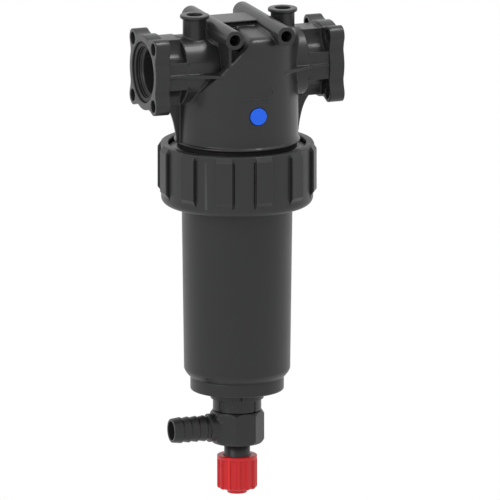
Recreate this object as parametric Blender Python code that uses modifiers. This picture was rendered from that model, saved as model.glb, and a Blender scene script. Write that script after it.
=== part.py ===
"""Pressure filter for a spray line: flanged head, screwed ring, bowl, mesh cartridge, drain valve.

Metres, +Z up. The origin is where the pipe axis (X) crosses the bowl axis (Z). The front is -Y
and the inlet is at -X. Water goes from the inlet down the elbow into the cartridge, out through
its mesh and up round it to the outlet.
"""

import math

import bmesh
import bpy
from mathutils import Matrix, Vector

# Clearances and facets
FIT_GAP = 0.0003
THREAD_GAP = 0.0004
OVERLAP = 0.0010
ROUND_STEPS = 24
RING_STEPS = 36
OCTAGON_STEPS = 28
PORT_STEPS = 18
SMALL_STEPS = 14
RUBBER_STEPS = 10
HOLE_STEPS = 8

# Head body
BODY_RADIUS = 0.0504
BODY_WALL = 0.0039
BODY_RIM_TOP = 0.0315
BODY_DOME = 0.0025
BODY_ROUNDING = 0.0090
BODY_ROOF = 0.0045
CORE_DRAFT = 0.0003
CORE_SPLIT = -0.0560
LIP_PROUD = 0.0016
LIP_HEIGHT = 0.0030
SHOULDER_ANGLE = math.radians(50.0)
SHOULDER_RISE = 0.0370

# Threaded skirt and the ring nut round it
RING_TOP = -0.0648
RING_HEIGHT = 0.0514
RING_FLOOR = 0.0061
RING_GAP = 0.0065
RING_WALL = 0.0058
RING_TOP_PROUD = 0.0004
RING_EDGE_ROUNDING = 0.0058
PAD_COUNT = 12
PAD_PROUD = 0.0031
PAD_ANGLE = math.radians(12.3)
PAD_TOP_CHAMFER = 0.0045
PAD_END_ABOVE_FLOOR = 0.0085
PAD_END_CHAMFER = 0.0043
SKIRT_DROP = 0.0008
SKIRT_BORE_STEP = 0.0004
SKIRT_BORE_HEIGHT = 0.0210

# Ports, the same on both sides
PORT_BORE = 0.0183
PORT_RADIUS = 0.0290
PORT_STEP_OUT = 0.0036
FLANGE_FACE = 0.0829
FLANGE_THICKNESS = 0.0127
FLANGE_HALF_WIDTH = 0.0320
FLANGE_BULGE = 0.0315
FLANGE_NOTCH = 0.0295
BOLT_OFFSET = 0.0240
BOLT_HOLE = 0.00515
BOLT_ROOM = 0.0130
BARREL_FLAT = 0.0280
SEAL_SEAT_RADIUS = 0.0255
SEAL_SEAT_DEPTH = 0.0036
SEAL_WIDTH = 0.0036
SEAL_RIDGE = 0.0007
PORT_STEP_RADIUS = 0.0212
PORT_STEP_DEPTH = 0.0062

# Ribs of the head
RIB_THICKNESS = 0.0042
RIB_PORT_REACH = 0.0305
RIB_BODY_X = 0.0260
GUSSET_THICKNESS = 0.0030
GUSSET_FOOT = -0.0610
GUSSET_FOOT_PROUD = 0.0030
GUSSET_MIDDLE = -0.0360
GUSSET_MIDDLE_PROUD = 0.0054
GUSSET_REACH = 0.0640

# Mounting tubes and the block that ties them
TUBE_X = 0.0226
TUBE_Z = 0.0335
TUBE_RADIUS = 0.0080
TUBE_BORE = 0.00465
TUBE_PROUD_FRONT = 0.0056
TUBE_SHORT_BACK = 0.0004
TUBE_WEB = 0.0025
BRIDGE_HALF_WIDTH = 0.0305
BRIDGE_TOP = 0.0380
BRIDGE_FRONT = -0.0050
BRIDGE_BACK = 0.0260

# Gauge bosses
GAUGE_X = 0.0387
GAUGE_Y = -0.0035
GAUGE_RADIUS = 0.0099
GAUGE_TOP = 0.0461
GAUGE_LIP_RADIUS = 0.0122
GAUGE_LIP_HEIGHT = 0.0029
GAUGE_HOLE = 0.00665
GAUGE_HOLE_DEPTH = 0.0152
GAUGE_PILOT = 0.0030

# Elbow and spigot inside the head
DUCT_WALL = 0.0040
DOWN_PIPE_EXTRA = 0.0017
SPIGOT_END = -0.0780
SPIGOT_BORE = 0.0178

# Colour disc
DISC_Z = -0.0336
DISC_RADIUS = 0.0071
DISC_THICKNESS = 0.0030
DISC_PROUD = 0.0009

# Bowl
BOWL_FLANGE = 0.0083
BOWL_SPIGOT_HEIGHT = 0.0135
BOWL_STEP_IN = 0.0046
BOWL_TAPER = 0.0020
BOWL_LENGTH = 0.1398
BOWL_WALL = 0.0040
SHOULDER_HEIGHT = 0.0070
FOOT_STEP_IN = 0.0052
FOOT_HEIGHT = 0.0102
FOOT_ROUNDING = 0.0015
BOWL_FLOOR = 0.0047
SEAL_CORD = 0.0036
SEAL_SQUEEZE_ROOM = 0.0012

# Cartridge
CAGE_RADIUS = 0.0300
CAGE_WALL = 0.0026
CAP_HEIGHT = 0.0080
CAP_LIP_HEIGHT = 0.0100
CAGE_COLUMNS = 6
CAGE_ROWS = 2
CAGE_STRUT = 0.0060
CAGE_HOOP = 0.0060
MESH_THICKNESS = 0.0006
GASKET_THICKNESS = 0.0027
CARTRIDGE_FOOT_BORE = 0.0125
CARTRIDGE_FOOT_RADIUS = 0.0250
GASKET_WIDTH = 0.0060
SOCKET_GAP = 0.0008

# Drain valve
DRAIN_THREAD = 0.0120
DRAIN_BORE = 0.0080
TAB_RADIUS = 0.0220
TAB_RING_HEIGHT = 0.0024
TAB_HEIGHT = 0.0054
TAB_COUNT = 4
TAB_ANGLE = math.radians(60.0)
COLLAR_RADIUS = 0.0200
COLLAR_HEIGHT = 0.0116
COLLAR_GROOVE = 0.0024
COLLAR_GROOVE_DEPTH = 0.0010
COLLAR_GROOVE_ANGLE = math.radians(65.0)
DRAIN_SEAL_HEIGHT = 0.0022
DRAIN_SEAL_WIDTH = 0.0036
BODY_FLATS = 0.0415
VALVE_HEIGHT = 0.0272
VALVE_CORNER_RADIUS = 0.0204
VALVE_CORNER_HEIGHT = 0.0027
SEAT_BORE = 0.0060
SEAT_DROP = 0.0054
CHAMBER_RADIUS = 0.0105
BARB_Z_DROP = 0.0137
BARB_TIP = -0.0580
BARB_BORE = 0.0072
BARB_CREST = 0.0109
BARB_TIP_RADIUS = 0.0099
BARB_VALLEY = 0.0097
BARB_PITCH = 0.0069
BARB_CRESTS = 4
BARB_TIP_LENGTH = 0.0079
BARB_COLLAR = 0.0118
BARB_COLLAR_LENGTH = 0.0030
NECK_RADIUS = 0.0104
NECK_BELOW_BODY = 0.0260
NECK_INSERT = 0.0080
STEM_RADIUS = 0.0040
STEM_SEAL_CORD = 0.0022
PLUNGER_RADIUS = 0.0090
PLUNGER_HEAD = 0.0045
WASHER_THICKNESS = 0.0026

# Knob
KNOB_RADIUS = 0.0165
KNOB_TOP_DROP = 0.0118
KNOB_HEIGHT = 0.0270
KNOB_FLOOR = 0.0062
KNOB_MOUTH = 0.0115
KNOB_MOUTH_DEPTH = 0.0020
KNOB_RIM = 0.0025
KNOB_ROUNDING = 0.0022
KNOB_RIBS = 12
KNOB_RIB_ANGLE = math.radians(10.0)
KNOB_RIB_PHASE = math.radians(14.0)
KNOB_FLUTE_DEPTH = 0.0010
KNOB_BOSS = 0.0082
KNOB_BOSS_HEIGHT = 0.0032
SCREW_HEAD = 0.0045
SCREW_HEAD_HEIGHT = 0.0026
SCREW_SHANK = 0.0020
SCREW_LENGTH = 0.0120
SCREW_SLOT = 0.0010

# Radii worked out from the sizes above, outwards and inwards from the body
LIP_RADIUS = BODY_RADIUS + LIP_PROUD
RING_BORE = BODY_RADIUS + RING_GAP
RING_RADIUS = RING_BORE + RING_WALL
RING_TOP_RADIUS = RING_RADIUS + RING_TOP_PROUD
PAD_RADIUS = RING_RADIUS + PAD_PROUD
SKIRT_BORE = BODY_RADIUS - SKIRT_BORE_STEP
TUBE_FRONT = -BODY_RADIUS - TUBE_PROUD_FRONT
TUBE_BACK = BODY_RADIUS - TUBE_SHORT_BACK
PORT_REACH = BODY_RADIUS + PORT_STEP_OUT
BOWL_RADIUS = BODY_RADIUS - BOWL_STEP_IN
BOWL_FOOT_END_RADIUS = BOWL_RADIUS - BOWL_TAPER
FOOT_RADIUS = BOWL_FOOT_END_RADIUS - FOOT_STEP_IN

# Heights worked out from the sizes above
RING_BOTTOM = RING_TOP - RING_HEIGHT
FLANGE_UNDERSIDE = RING_BOTTOM + RING_FLOOR + FIT_GAP
FLANGE_TOP = FLANGE_UNDERSIDE + BOWL_FLANGE
SKIRT_RADIUS = RING_BORE - THREAD_GAP
SKIRT_TOP = RING_TOP - SKIRT_DROP
SKIRT_BOTTOM = FLANGE_TOP + FIT_GAP
CHAMBER_BORE = BODY_RADIUS - BODY_WALL
CHAMBER_TOP = BODY_RIM_TOP - BODY_ROOF
DUCT_RADIUS = PORT_BORE + DUCT_WALL
BOWL_TAPER_END = RING_BOTTOM - BOWL_LENGTH
FOOT_TOP = BOWL_TAPER_END - SHOULDER_HEIGHT
BOWL_BOTTOM = FOOT_TOP - FOOT_HEIGHT
BOWL_FLOOR_TOP = BOWL_BOTTOM + BOWL_FLOOR
LOCKNUT_TOP = BOWL_BOTTOM - FIT_GAP
COLLAR_TOP = LOCKNUT_TOP - TAB_HEIGHT
VALVE_TOP = COLLAR_TOP - COLLAR_HEIGHT - FIT_GAP
VALVE_BOTTOM = VALVE_TOP - VALVE_HEIGHT
SEAT_Z = VALVE_TOP - SEAT_DROP
BARB_Z = VALVE_TOP - BARB_Z_DROP
NECK_BOTTOM = VALVE_BOTTOM - NECK_BELOW_BODY
NECK_TOP = VALVE_BOTTOM + NECK_INSERT
KNOB_TOP = VALVE_BOTTOM - KNOB_TOP_DROP
KNOB_BOTTOM = KNOB_TOP - KNOB_HEIGHT
KNOB_INNER_FLOOR = KNOB_BOTTOM + KNOB_FLOOR
KNOB_END = KNOB_BOTTOM - KNOB_BOSS_HEIGHT
SCREW_SEAT = KNOB_END + SCREW_HEAD_HEIGHT + FIT_GAP
STEM_END = SCREW_SEAT + FIT_GAP

BLACK = (0.028, 0.029, 0.031)
SEAL_BLACK = (0.012, 0.012, 0.013)
RED = (0.640, 0.025, 0.030)
BLUE = (0.020, 0.105, 0.860)
STEEL = (0.560, 0.570, 0.580)
BRASS = (0.640, 0.450, 0.190)


def new_collection(name):
    """A collection linked to the scene."""
    collection = bpy.data.collections.new(name)
    bpy.context.scene.collection.children.link(collection)
    return collection


def place(name, mesh, collection):
    """An object for a mesh, in a collection."""
    obj = bpy.data.objects.new(name, mesh)
    collection.objects.link(obj)
    return obj


def finish_material(name, colour, roughness, metallic=0.0):
    """A Principled material with the piece's colour."""
    material = bpy.data.materials.new(name)
    material.use_nodes = True
    shader = material.node_tree.nodes["Principled BSDF"]
    shader.inputs["Base Color"].default_value = (*colour, 1.0)
    shader.inputs["Roughness"].default_value = roughness
    shader.inputs["Metallic"].default_value = metallic
    material.diffuse_color = (*colour, 1.0)
    return material


def dress(obj, colour, roughness, metallic=0.0):
    """Give a piece a material of its own."""
    obj.data.materials.append(finish_material(obj.name + "_finish", colour, roughness, metallic))


def turned(name, profile, collection, steps=ROUND_STEPS, ring=False):
    """A turned shape about local Z. The profile's (radius, height) points run down its outside."""
    mesh = bpy.data.meshes.new(name)
    points = [(radius, 0.0, height) for radius, height in profile]
    edges = [(index, index + 1) for index in range(len(points) - 1)]
    if ring:
        edges.append((len(points) - 1, 0))
    mesh.from_pydata(points, edges, [])
    obj = place(name, mesh, collection)
    screw = obj.modifiers.new("turn", "SCREW")
    screw.steps = steps
    screw.render_steps = steps
    screw.use_merge_vertices = True
    screw.merge_threshold = 0.00001
    screw.use_smooth_shade = True
    return obj


def cylinder(name, radius, start, end, collection, steps=ROUND_STEPS, end_radius=None):
    """A solid rod from one point to another, or a cone if its end has another radius."""
    bm = bmesh.new()
    run = Vector(end) - Vector(start)
    middle = (Vector(start) + Vector(end)) / 2
    turn = run.to_track_quat("Z", "Y").to_matrix().to_4x4()
    bmesh.ops.create_cone(
        bm,
        cap_ends=True,
        segments=steps,
        radius1=radius,
        radius2=radius if end_radius is None else end_radius,
        depth=run.length,
        matrix=Matrix.Translation(middle) @ turn,
    )
    mesh = bpy.data.meshes.new(name)
    bm.to_mesh(mesh)
    bm.free()
    mesh.shade_smooth()
    return place(name, mesh, collection)


def block(name, low, high, collection):
    """A box between two corners."""
    bm = bmesh.new()
    size = Vector(high) - Vector(low)
    middle = (Vector(high) + Vector(low)) / 2
    scale = Matrix.Diagonal((*size, 1.0))
    bmesh.ops.create_cube(bm, size=1.0, matrix=Matrix.Translation(middle) @ scale)
    mesh = bpy.data.meshes.new(name)
    bm.to_mesh(mesh)
    bm.free()
    return place(name, mesh, collection)


def plate(name, outline, thickness, matrix, collection):
    """A flat outline in local XY, given thickness about its plane and moved by a matrix."""
    curve = bpy.data.curves.new(name, "CURVE")
    curve.dimensions = "2D"
    curve.fill_mode = "BOTH"
    curve.extrude = thickness / 2
    spline = curve.splines.new("POLY")
    spline.points.add(len(outline) - 1)
    for point, (x, y) in zip(spline.points, outline):
        point.co = (x, y, 0.0, 1.0)
    spline.use_cyclic_u = True
    source = place(name + "_curve", curve, collection)
    source.matrix_world = matrix
    bpy.context.view_layer.update()
    depsgraph = bpy.context.evaluated_depsgraph_get()
    mesh = bpy.data.meshes.new_from_object(source.evaluated_get(depsgraph))
    bm = bmesh.new()
    bm.from_mesh(mesh)
    bmesh.ops.remove_doubles(bm, verts=bm.verts, dist=0.00001)
    bmesh.ops.recalc_face_normals(bm, faces=bm.faces)
    bm.to_mesh(mesh)
    bm.free()
    obj = place(name, mesh, collection)
    obj.matrix_world = source.matrix_world
    bpy.data.objects.remove(source)
    return obj


def sector(name, profile, middle_angle, sweep, steps, collection):
    """A (radius, height) outline swept round Z by part of a turn, centred on an angle from +X."""
    bm = bmesh.new()
    corners = [bm.verts.new((radius, 0.0, height)) for radius, height in profile]
    face = bm.faces.new(corners)
    start = Matrix.Rotation(middle_angle - sweep / 2, 4, "Z")
    bmesh.ops.transform(bm, matrix=start, verts=bm.verts)
    bmesh.ops.spin(
        bm,
        geom=[face, *face.edges, *face.verts],
        cent=(0.0, 0.0, 0.0),
        axis=(0.0, 0.0, 1.0),
        angle=sweep,
        steps=steps,
        use_duplicate=False,
    )
    bmesh.ops.recalc_face_normals(bm, faces=bm.faces)
    mesh = bpy.data.meshes.new(name)
    bm.to_mesh(mesh)
    bm.free()
    return place(name, mesh, collection)


def combine(target, tools, operation, helpers):
    """Join, cut or intersect a piece with helper shapes in one go. The helpers then hide."""
    group = bpy.data.collections.new(f"{target.name}_{operation.lower()}_{tools[0].name}")
    helpers.children.link(group)
    for tool in tools:
        helpers.objects.unlink(tool)
        group.objects.link(tool)
        tool.hide_render = True
        tool.display_type = "WIRE"
    modifier = target.modifiers.new(group.name, "BOOLEAN")
    modifier.operation = operation
    modifier.solver = "EXACT"
    modifier.operand_type = "COLLECTION"
    modifier.collection = group


def arc(centre, radius, start, end, steps):
    """Points on an arc in a plane, angles in degrees."""
    angles = [math.radians(start + (end - start) * index / steps) for index in range(steps + 1)]
    return [(centre[0] + radius * math.cos(a), centre[1] + radius * math.sin(a)) for a in angles]


def curve_points(start, middle, end, steps):
    """Points on a quadratic curve pulled towards its middle point."""
    points = []
    for index in range(steps + 1):
        t = index / steps
        weights = ((1 - t) ** 2, 2 * t * (1 - t), t * t)
        points.append(tuple(weights[0] * a + weights[1] * b + weights[2] * c
                            for a, b, c in zip(start, middle, end)))
    return points


def four_ways(quarter):
    """An outline from its first quarter, which runs from the +X axis to the +Y axis."""
    outline = list(quarter)
    for _ in range(3):
        outline += [(-y, x) for x, y in outline[-len(quarter):]]
    return outline


def polar(angle, radius):
    """A point round Z, at an angle from +X."""
    return radius * math.cos(angle), radius * math.sin(angle)


FRONT = math.radians(-90.0)


def across_x(side):
    """Turns local XY into the YZ plane, seen from the end of the pipe on that side."""
    return Matrix(((0, 0, side, 0), (side, 0, 0, 0), (0, 1, 0, 0), (0, 0, 0, 1)))


def flange_outline():
    """Four bolt lobes round a bulged middle, with shallow notches between them."""
    lobe = FLANGE_HALF_WIDTH - BOLT_OFFSET
    notch_y = BOLT_OFFSET - 1.2 * lobe
    half_bulge = 0.75 * math.degrees(math.asin(notch_y / FLANGE_BULGE))
    quarter = arc((0.0, 0.0), FLANGE_BULGE, 0.0, half_bulge, 1)
    quarter.append((FLANGE_NOTCH, notch_y))
    quarter += arc((BOLT_OFFSET, BOLT_OFFSET), lobe, -20.0, 110.0, 4)
    quarter.append((notch_y, FLANGE_NOTCH))
    quarter += arc((0.0, 0.0), FLANGE_BULGE, 90.0 - half_bulge, 90.0, 1)[:-1]
    return four_ways(quarter)


def barrel_outline():
    """Four flats with hollows that leave room for the bolts."""
    rise = BARREL_FLAT - BOLT_OFFSET
    angle = math.degrees(math.asin(rise / BOLT_ROOM))
    return four_ways(arc((BOLT_OFFSET, BOLT_OFFSET), BOLT_ROOM, 270.0 + angle, 180.0 - angle, 4))


def head_blank(helpers, parts):
    """The turned body with its lip and skirt, cut away above the inlet by a sloping shoulder."""
    rim = arc((BODY_RADIUS - BODY_ROUNDING, BODY_RIM_TOP - BODY_ROUNDING), BODY_ROUNDING, 90.0, 0.0, 3)
    lip_top = RING_TOP + LIP_HEIGHT + FIT_GAP
    profile = [
        (0.0, BODY_RIM_TOP + BODY_DOME),
        *rim,
        (BODY_RADIUS, lip_top + LIP_RADIUS - BODY_RADIUS),
        (LIP_RADIUS, lip_top),
        (LIP_RADIUS, SKIRT_TOP),
        (SKIRT_RADIUS, SKIRT_TOP),
        (SKIRT_RADIUS, SKIRT_BOTTOM),
        (SKIRT_BORE, SKIRT_BOTTOM),
        (SKIRT_BORE, SKIRT_BOTTOM + SKIRT_BORE_HEIGHT),
        (CHAMBER_BORE, SKIRT_BOTTOM + SKIRT_BORE_HEIGHT + SKIRT_BORE - CHAMBER_BORE),
        (CHAMBER_BORE, CORE_SPLIT),
        (0.0, CORE_SPLIT),
    ]
    head = turned("filter_head", profile, parts)
    combine(head, [shoulder_block("shoulder_cut", 0.0, helpers)], "DIFFERENCE", helpers)
    return head


def shoulder_block(name, depth, helpers):
    """A big block above the sloping shoulder, sunk into it by a depth."""
    reach = BODY_RADIUS * 4
    tool = block(name, (-reach, -reach, -depth), (reach, reach, reach), helpers)
    tool.rotation_euler = (0.0, -SHOULDER_ANGLE, 0.0)
    tool.location = (0.0, 0.0, SHOULDER_RISE)
    return tool


def port_forms(side, helpers):
    """Port cylinder, barrel and flange on one side."""
    label = "inlet" if side < 0 else "outlet"
    inside = BODY_RADIUS / 2
    start = (side * inside, 0, 0)
    port = cylinder(label + "_port", PORT_RADIUS, start, (side * PORT_REACH, 0, 0), helpers, PORT_STEPS + 4)
    flange_back = FLANGE_FACE - FLANGE_THICKNESS
    barrel_start = PORT_REACH - OVERLAP
    barrel_end = flange_back + OVERLAP
    middle = Matrix.Translation((side * (barrel_start + barrel_end) / 2, 0, 0))
    barrel = plate(
        label + "_barrel", barrel_outline(), barrel_end - barrel_start, middle @ across_x(side), helpers
    )
    middle = Matrix.Translation((side * (FLANGE_FACE - FLANGE_THICKNESS / 2), 0, 0))
    flange = plate(label + "_flange", flange_outline(), FLANGE_THICKNESS, middle @ across_x(side), helpers)
    return [port, barrel, flange]


def rib_forms(helpers):
    """One level rib all round at pipe height, and a gusset under each port."""
    back = FLANGE_FACE - FLANGE_THICKNESS + OVERLAP
    body_y = math.sqrt(BODY_RADIUS ** 2 - RIB_BODY_X ** 2) + FIT_GAP
    port_y = RIB_PORT_REACH
    barrel_y = BARREL_FLAT + OVERLAP
    quarter = [(back, barrel_y), (PORT_REACH, port_y), (PORT_REACH - OVERLAP, port_y + FIT_GAP),
               (RIB_BODY_X, body_y)]
    outline = quarter + [(-x, y) for x, y in reversed(quarter)]
    outline += [(-x, -y) for x, y in outline]
    forms = [plate("level_rib", outline, RIB_THICKNESS, Matrix.Identity(4), helpers)]
    for side in (-1, 1):
        edge = curve_points(
            (BODY_RADIUS + GUSSET_FOOT_PROUD, GUSSET_FOOT),
            (BODY_RADIUS + GUSSET_MIDDLE_PROUD, GUSSET_MIDDLE),
            (GUSSET_REACH, -PORT_RADIUS),
            4,
        )
        inner = [(GUSSET_REACH, -PORT_RADIUS + 4 * OVERLAP), (BODY_RADIUS - 2 * OVERLAP, -PORT_RADIUS / 2),
                 (BODY_RADIUS - 2 * OVERLAP, GUSSET_FOOT)]
        outline = [(side * x, z) for x, z in edge + inner]
        upright = Matrix(((1, 0, 0, 0), (0, 0, -1, 0), (0, 1, 0, 0), (0, 0, 0, 1)))
        name = "inlet_gusset" if side < 0 else "outlet_gusset"
        forms.append(plate(name, outline, GUSSET_THICKNESS, upright, helpers))
    return forms


def tube_forms(helpers):
    """Two mounting tubes, the block between them and the web down to the shoulder."""
    bridge = block(
        "tube_bridge",
        (-BRIDGE_HALF_WIDTH, BRIDGE_FRONT, CHAMBER_TOP - OVERLAP),
        (BRIDGE_HALF_WIDTH, BRIDGE_BACK, BRIDGE_TOP),
        helpers,
    )
    forms = [bridge]
    for side, label in ((-1, "left"), (1, "right")):
        start = (side * TUBE_X, TUBE_FRONT, TUBE_Z)
        end = (side * TUBE_X, TUBE_BACK, TUBE_Z)
        forms.append(cylinder(label + "_tube", TUBE_RADIUS, start, end, helpers, SMALL_STEPS))
    shoulder_z = SHOULDER_RISE - TUBE_X * math.tan(SHOULDER_ANGLE)
    web_reach = math.sqrt(BODY_RADIUS ** 2 - TUBE_X ** 2) - OVERLAP / 2
    web = block(
        "tube_web",
        (-TUBE_X - TUBE_WEB / 2, -web_reach, shoulder_z - 2 * TUBE_WEB),
        (-TUBE_X + TUBE_WEB / 2, web_reach, TUBE_Z),
        helpers,
    )
    return forms + [web]


def gauge_forms(side, helpers):
    """A lipped boss on top of one port, for a gauge."""
    label = "inlet" if side < 0 else "outlet"
    x = side * GAUGE_X
    boss = cylinder(
        label + "_gauge_boss", GAUGE_RADIUS, (x, GAUGE_Y, PORT_BORE + OVERLAP), (x, GAUGE_Y, GAUGE_TOP - OVERLAP),
        helpers, SMALL_STEPS,
    )
    lip = cylinder(
        label + "_gauge_lip", GAUGE_LIP_RADIUS, (x, GAUGE_Y, GAUGE_TOP - GAUGE_LIP_HEIGHT),
        (x, GAUGE_Y, GAUGE_TOP), helpers, SMALL_STEPS,
    )
    return [boss, lip]


def spigot_form(helpers):
    """The end of the elbow's pipe, which enters the cartridge."""
    start = (0, 0, CORE_SPLIT + 4 * OVERLAP)
    return cylinder("spigot", DUCT_RADIUS, start, (0, 0, SPIGOT_END), helpers, SMALL_STEPS)


def chamber_cut(helpers):
    """The hollow of the upper body. It leaves the elbow and a wall under the sloping shoulder."""
    pipe = DUCT_RADIUS + DOWN_PIPE_EXTRA
    profile = [
        (CHAMBER_BORE - 2 * CORE_DRAFT, CHAMBER_TOP),
        (CHAMBER_BORE - CORE_DRAFT, CORE_SPLIT - OVERLAP),
        (pipe, CORE_SPLIT - OVERLAP),
        (pipe, CHAMBER_TOP),
    ]
    chamber = turned("chamber_cut", profile, helpers, ring=True)
    start = (-BODY_RADIUS - OVERLAP, 0, 0)
    end = (-DUCT_RADIUS / 2, 0, 0)
    duct = cylinder("duct", DUCT_RADIUS, start, end, helpers, SMALL_STEPS)
    shoulder = shoulder_block("chamber_shoulder", BODY_WALL, helpers)
    combine(chamber, [shoulder, duct], "DIFFERENCE", helpers)
    return chamber


def port_cut(side, depth_end, helpers):
    """The bore of one port with its stepped mouth, turned about X."""
    mouth = FLANGE_FACE + OVERLAP
    seat = FLANGE_FACE - SEAL_SEAT_DEPTH
    step = FLANGE_FACE - PORT_STEP_DEPTH
    profile = [
        (0.0, mouth),
        (SEAL_SEAT_RADIUS, mouth),
        (SEAL_SEAT_RADIUS, seat),
        (PORT_STEP_RADIUS, seat),
        (PORT_STEP_RADIUS, step),
        (PORT_BORE, step),
        (PORT_BORE, depth_end),
        (0.0, depth_end),
    ]
    name = "inlet_bore" if side < 0 else "outlet_bore"
    tool = turned(name, profile, helpers, PORT_STEPS)
    tool.rotation_euler = (0.0, side * math.pi / 2, 0.0)
    return tool


def cut_head_holes(head, helpers):
    """The chamber, port bores, bolt holes, tube holes, gauge holes and the disc's recess."""
    cuts = [chamber_cut(helpers), port_cut(-1, -OVERLAP, helpers), port_cut(1, CHAMBER_BORE - 4 * BODY_WALL, helpers)]
    top = PORT_BORE - OVERLAP
    end = (0, 0, SPIGOT_END - OVERLAP)
    cuts.append(cylinder("spigot_bore", SPIGOT_BORE, (0, 0, top), end, helpers, PORT_STEPS - 2))
    for side in (-1, 1):
        near = side * (FLANGE_FACE - FLANGE_THICKNESS - OVERLAP)
        far = side * (FLANGE_FACE + OVERLAP)
        for corner in range(4):
            y, z = polar(math.radians(45 + 90 * corner), BOLT_OFFSET * math.sqrt(2))
            name = f"bolt_hole_{side}_{corner}"
            cuts.append(cylinder(name, BOLT_HOLE, (near, y, z), (far, y, z), helpers, HOLE_STEPS))
        x = side * TUBE_X
        start = (x, TUBE_FRONT - OVERLAP, TUBE_Z)
        end = (x, TUBE_BACK + OVERLAP, TUBE_Z)
        cuts.append(cylinder(f"tube_hole_{side}", TUBE_BORE, start, end, helpers, HOLE_STEPS))
        x = side * GAUGE_X
        floor = GAUGE_TOP - GAUGE_HOLE_DEPTH
        end = (x, GAUGE_Y, GAUGE_TOP + OVERLAP)
        cuts.append(cylinder(f"gauge_hole_{side}", GAUGE_HOLE, (x, GAUGE_Y, floor), end, helpers, HOLE_STEPS))
        start = (x, GAUGE_Y, PORT_BORE / 2)
        end = (x, GAUGE_Y, floor + OVERLAP)
        cuts.append(cylinder(f"gauge_pilot_{side}", GAUGE_PILOT, start, end, helpers, HOLE_STEPS))
    recess_floor = -BODY_RADIUS - DISC_PROUD + DISC_THICKNESS + FIT_GAP
    cuts.append(cylinder("disc_recess", DISC_RADIUS + FIT_GAP, (0, -BODY_RADIUS - 2 * OVERLAP, DISC_Z),
                         (0, recess_floor, DISC_Z), helpers, SMALL_STEPS))
    combine(head, cuts, "DIFFERENCE", helpers)


def make_head(parts, helpers):
    """The one-piece head moulding."""
    head = head_blank(helpers, parts)
    forms = [spigot_form(helpers)] + rib_forms(helpers) + tube_forms(helpers)
    for side in (-1, 1):
        forms += port_forms(side, helpers) + gauge_forms(side, helpers)
    combine(head, forms, "UNION", helpers)
    cut_head_holes(head, helpers)
    dress(head, BLACK, 0.42)


def make_disc(parts):
    """The blue disc pressed into the front."""
    face = -BODY_RADIUS - DISC_PROUD
    disc = cylinder("mesh_colour_disc", DISC_RADIUS, (0, face, DISC_Z), (0, face + DISC_THICKNESS, DISC_Z),
                    parts, SMALL_STEPS)
    dress(disc, BLUE, 0.35)


def make_flange_seal(side, parts):
    """The ridged ring in one flange face."""
    outer = SEAL_SEAT_RADIUS - FIT_GAP
    inner = outer - SEAL_WIDTH
    middle = (outer + inner) / 2
    front = FLANGE_FACE - SEAL_RIDGE - FIT_GAP
    back = FLANGE_FACE - SEAL_SEAT_DEPTH + FIT_GAP
    profile = [
        (outer, front),
        (outer, back),
        (inner, back),
        (inner, front),
        (middle, front - SEAL_RIDGE),
    ]
    name = "inlet_flange_seal" if side < 0 else "outlet_flange_seal"
    seal = turned(name, profile, parts, PORT_STEPS, ring=True)
    seal.rotation_euler = (0.0, side * math.pi / 2, 0.0)
    dress(seal, SEAL_BLACK, 0.6)


def make_ring_nut(parts, helpers):
    """The screwed ring with its grip pads."""
    edge = RING_EDGE_ROUNDING
    bowl_clear = BOWL_RADIUS + THREAD_GAP
    lower_edge = arc((RING_RADIUS - edge, RING_BOTTOM + edge), edge, 0.0, -90.0, 2)
    profile = [
        (RING_TOP_RADIUS, RING_TOP),
        (RING_RADIUS, RING_TOP - PAD_TOP_CHAMFER),
        *lower_edge,
        (bowl_clear, RING_BOTTOM),
        (bowl_clear, RING_BOTTOM + RING_FLOOR),
        (RING_BORE, RING_BOTTOM + RING_FLOOR),
        (RING_BORE, RING_TOP),
    ]
    ring = turned("ring_nut", profile, parts, RING_STEPS, ring=True)
    pad_bottom = RING_BOTTOM + PAD_END_ABOVE_FLOOR
    inside = RING_RADIUS - 2 * OVERLAP
    pad_profile = [
        (inside, RING_TOP - FIT_GAP),
        (RING_TOP_RADIUS, RING_TOP - FIT_GAP),
        (PAD_RADIUS, RING_TOP - PAD_TOP_CHAMFER),
        (PAD_RADIUS, pad_bottom + PAD_END_CHAMFER),
        (RING_RADIUS - FIT_GAP, pad_bottom),
        (inside, pad_bottom),
    ]
    pads = []
    for index in range(PAD_COUNT):
        angle = FRONT + 2 * math.pi * index / PAD_COUNT
        pads.append(sector(f"grip_pad_{index}", pad_profile, angle, PAD_ANGLE, 1, helpers))
    combine(ring, pads, "UNION", helpers)
    dress(ring, BLACK, 0.5)


def seal_groove():
    """Inner radius, top and bottom of the groove round the bowl's spigot."""
    spigot = SKIRT_BORE - FIT_GAP
    inner = spigot - SEAL_CORD + SEAL_SQUEEZE_ROOM
    middle = FLANGE_TOP + BOWL_SPIGOT_HEIGHT / 2
    half = SEAL_CORD / 2 + FIT_GAP
    return inner, middle + half, middle - half


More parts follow.
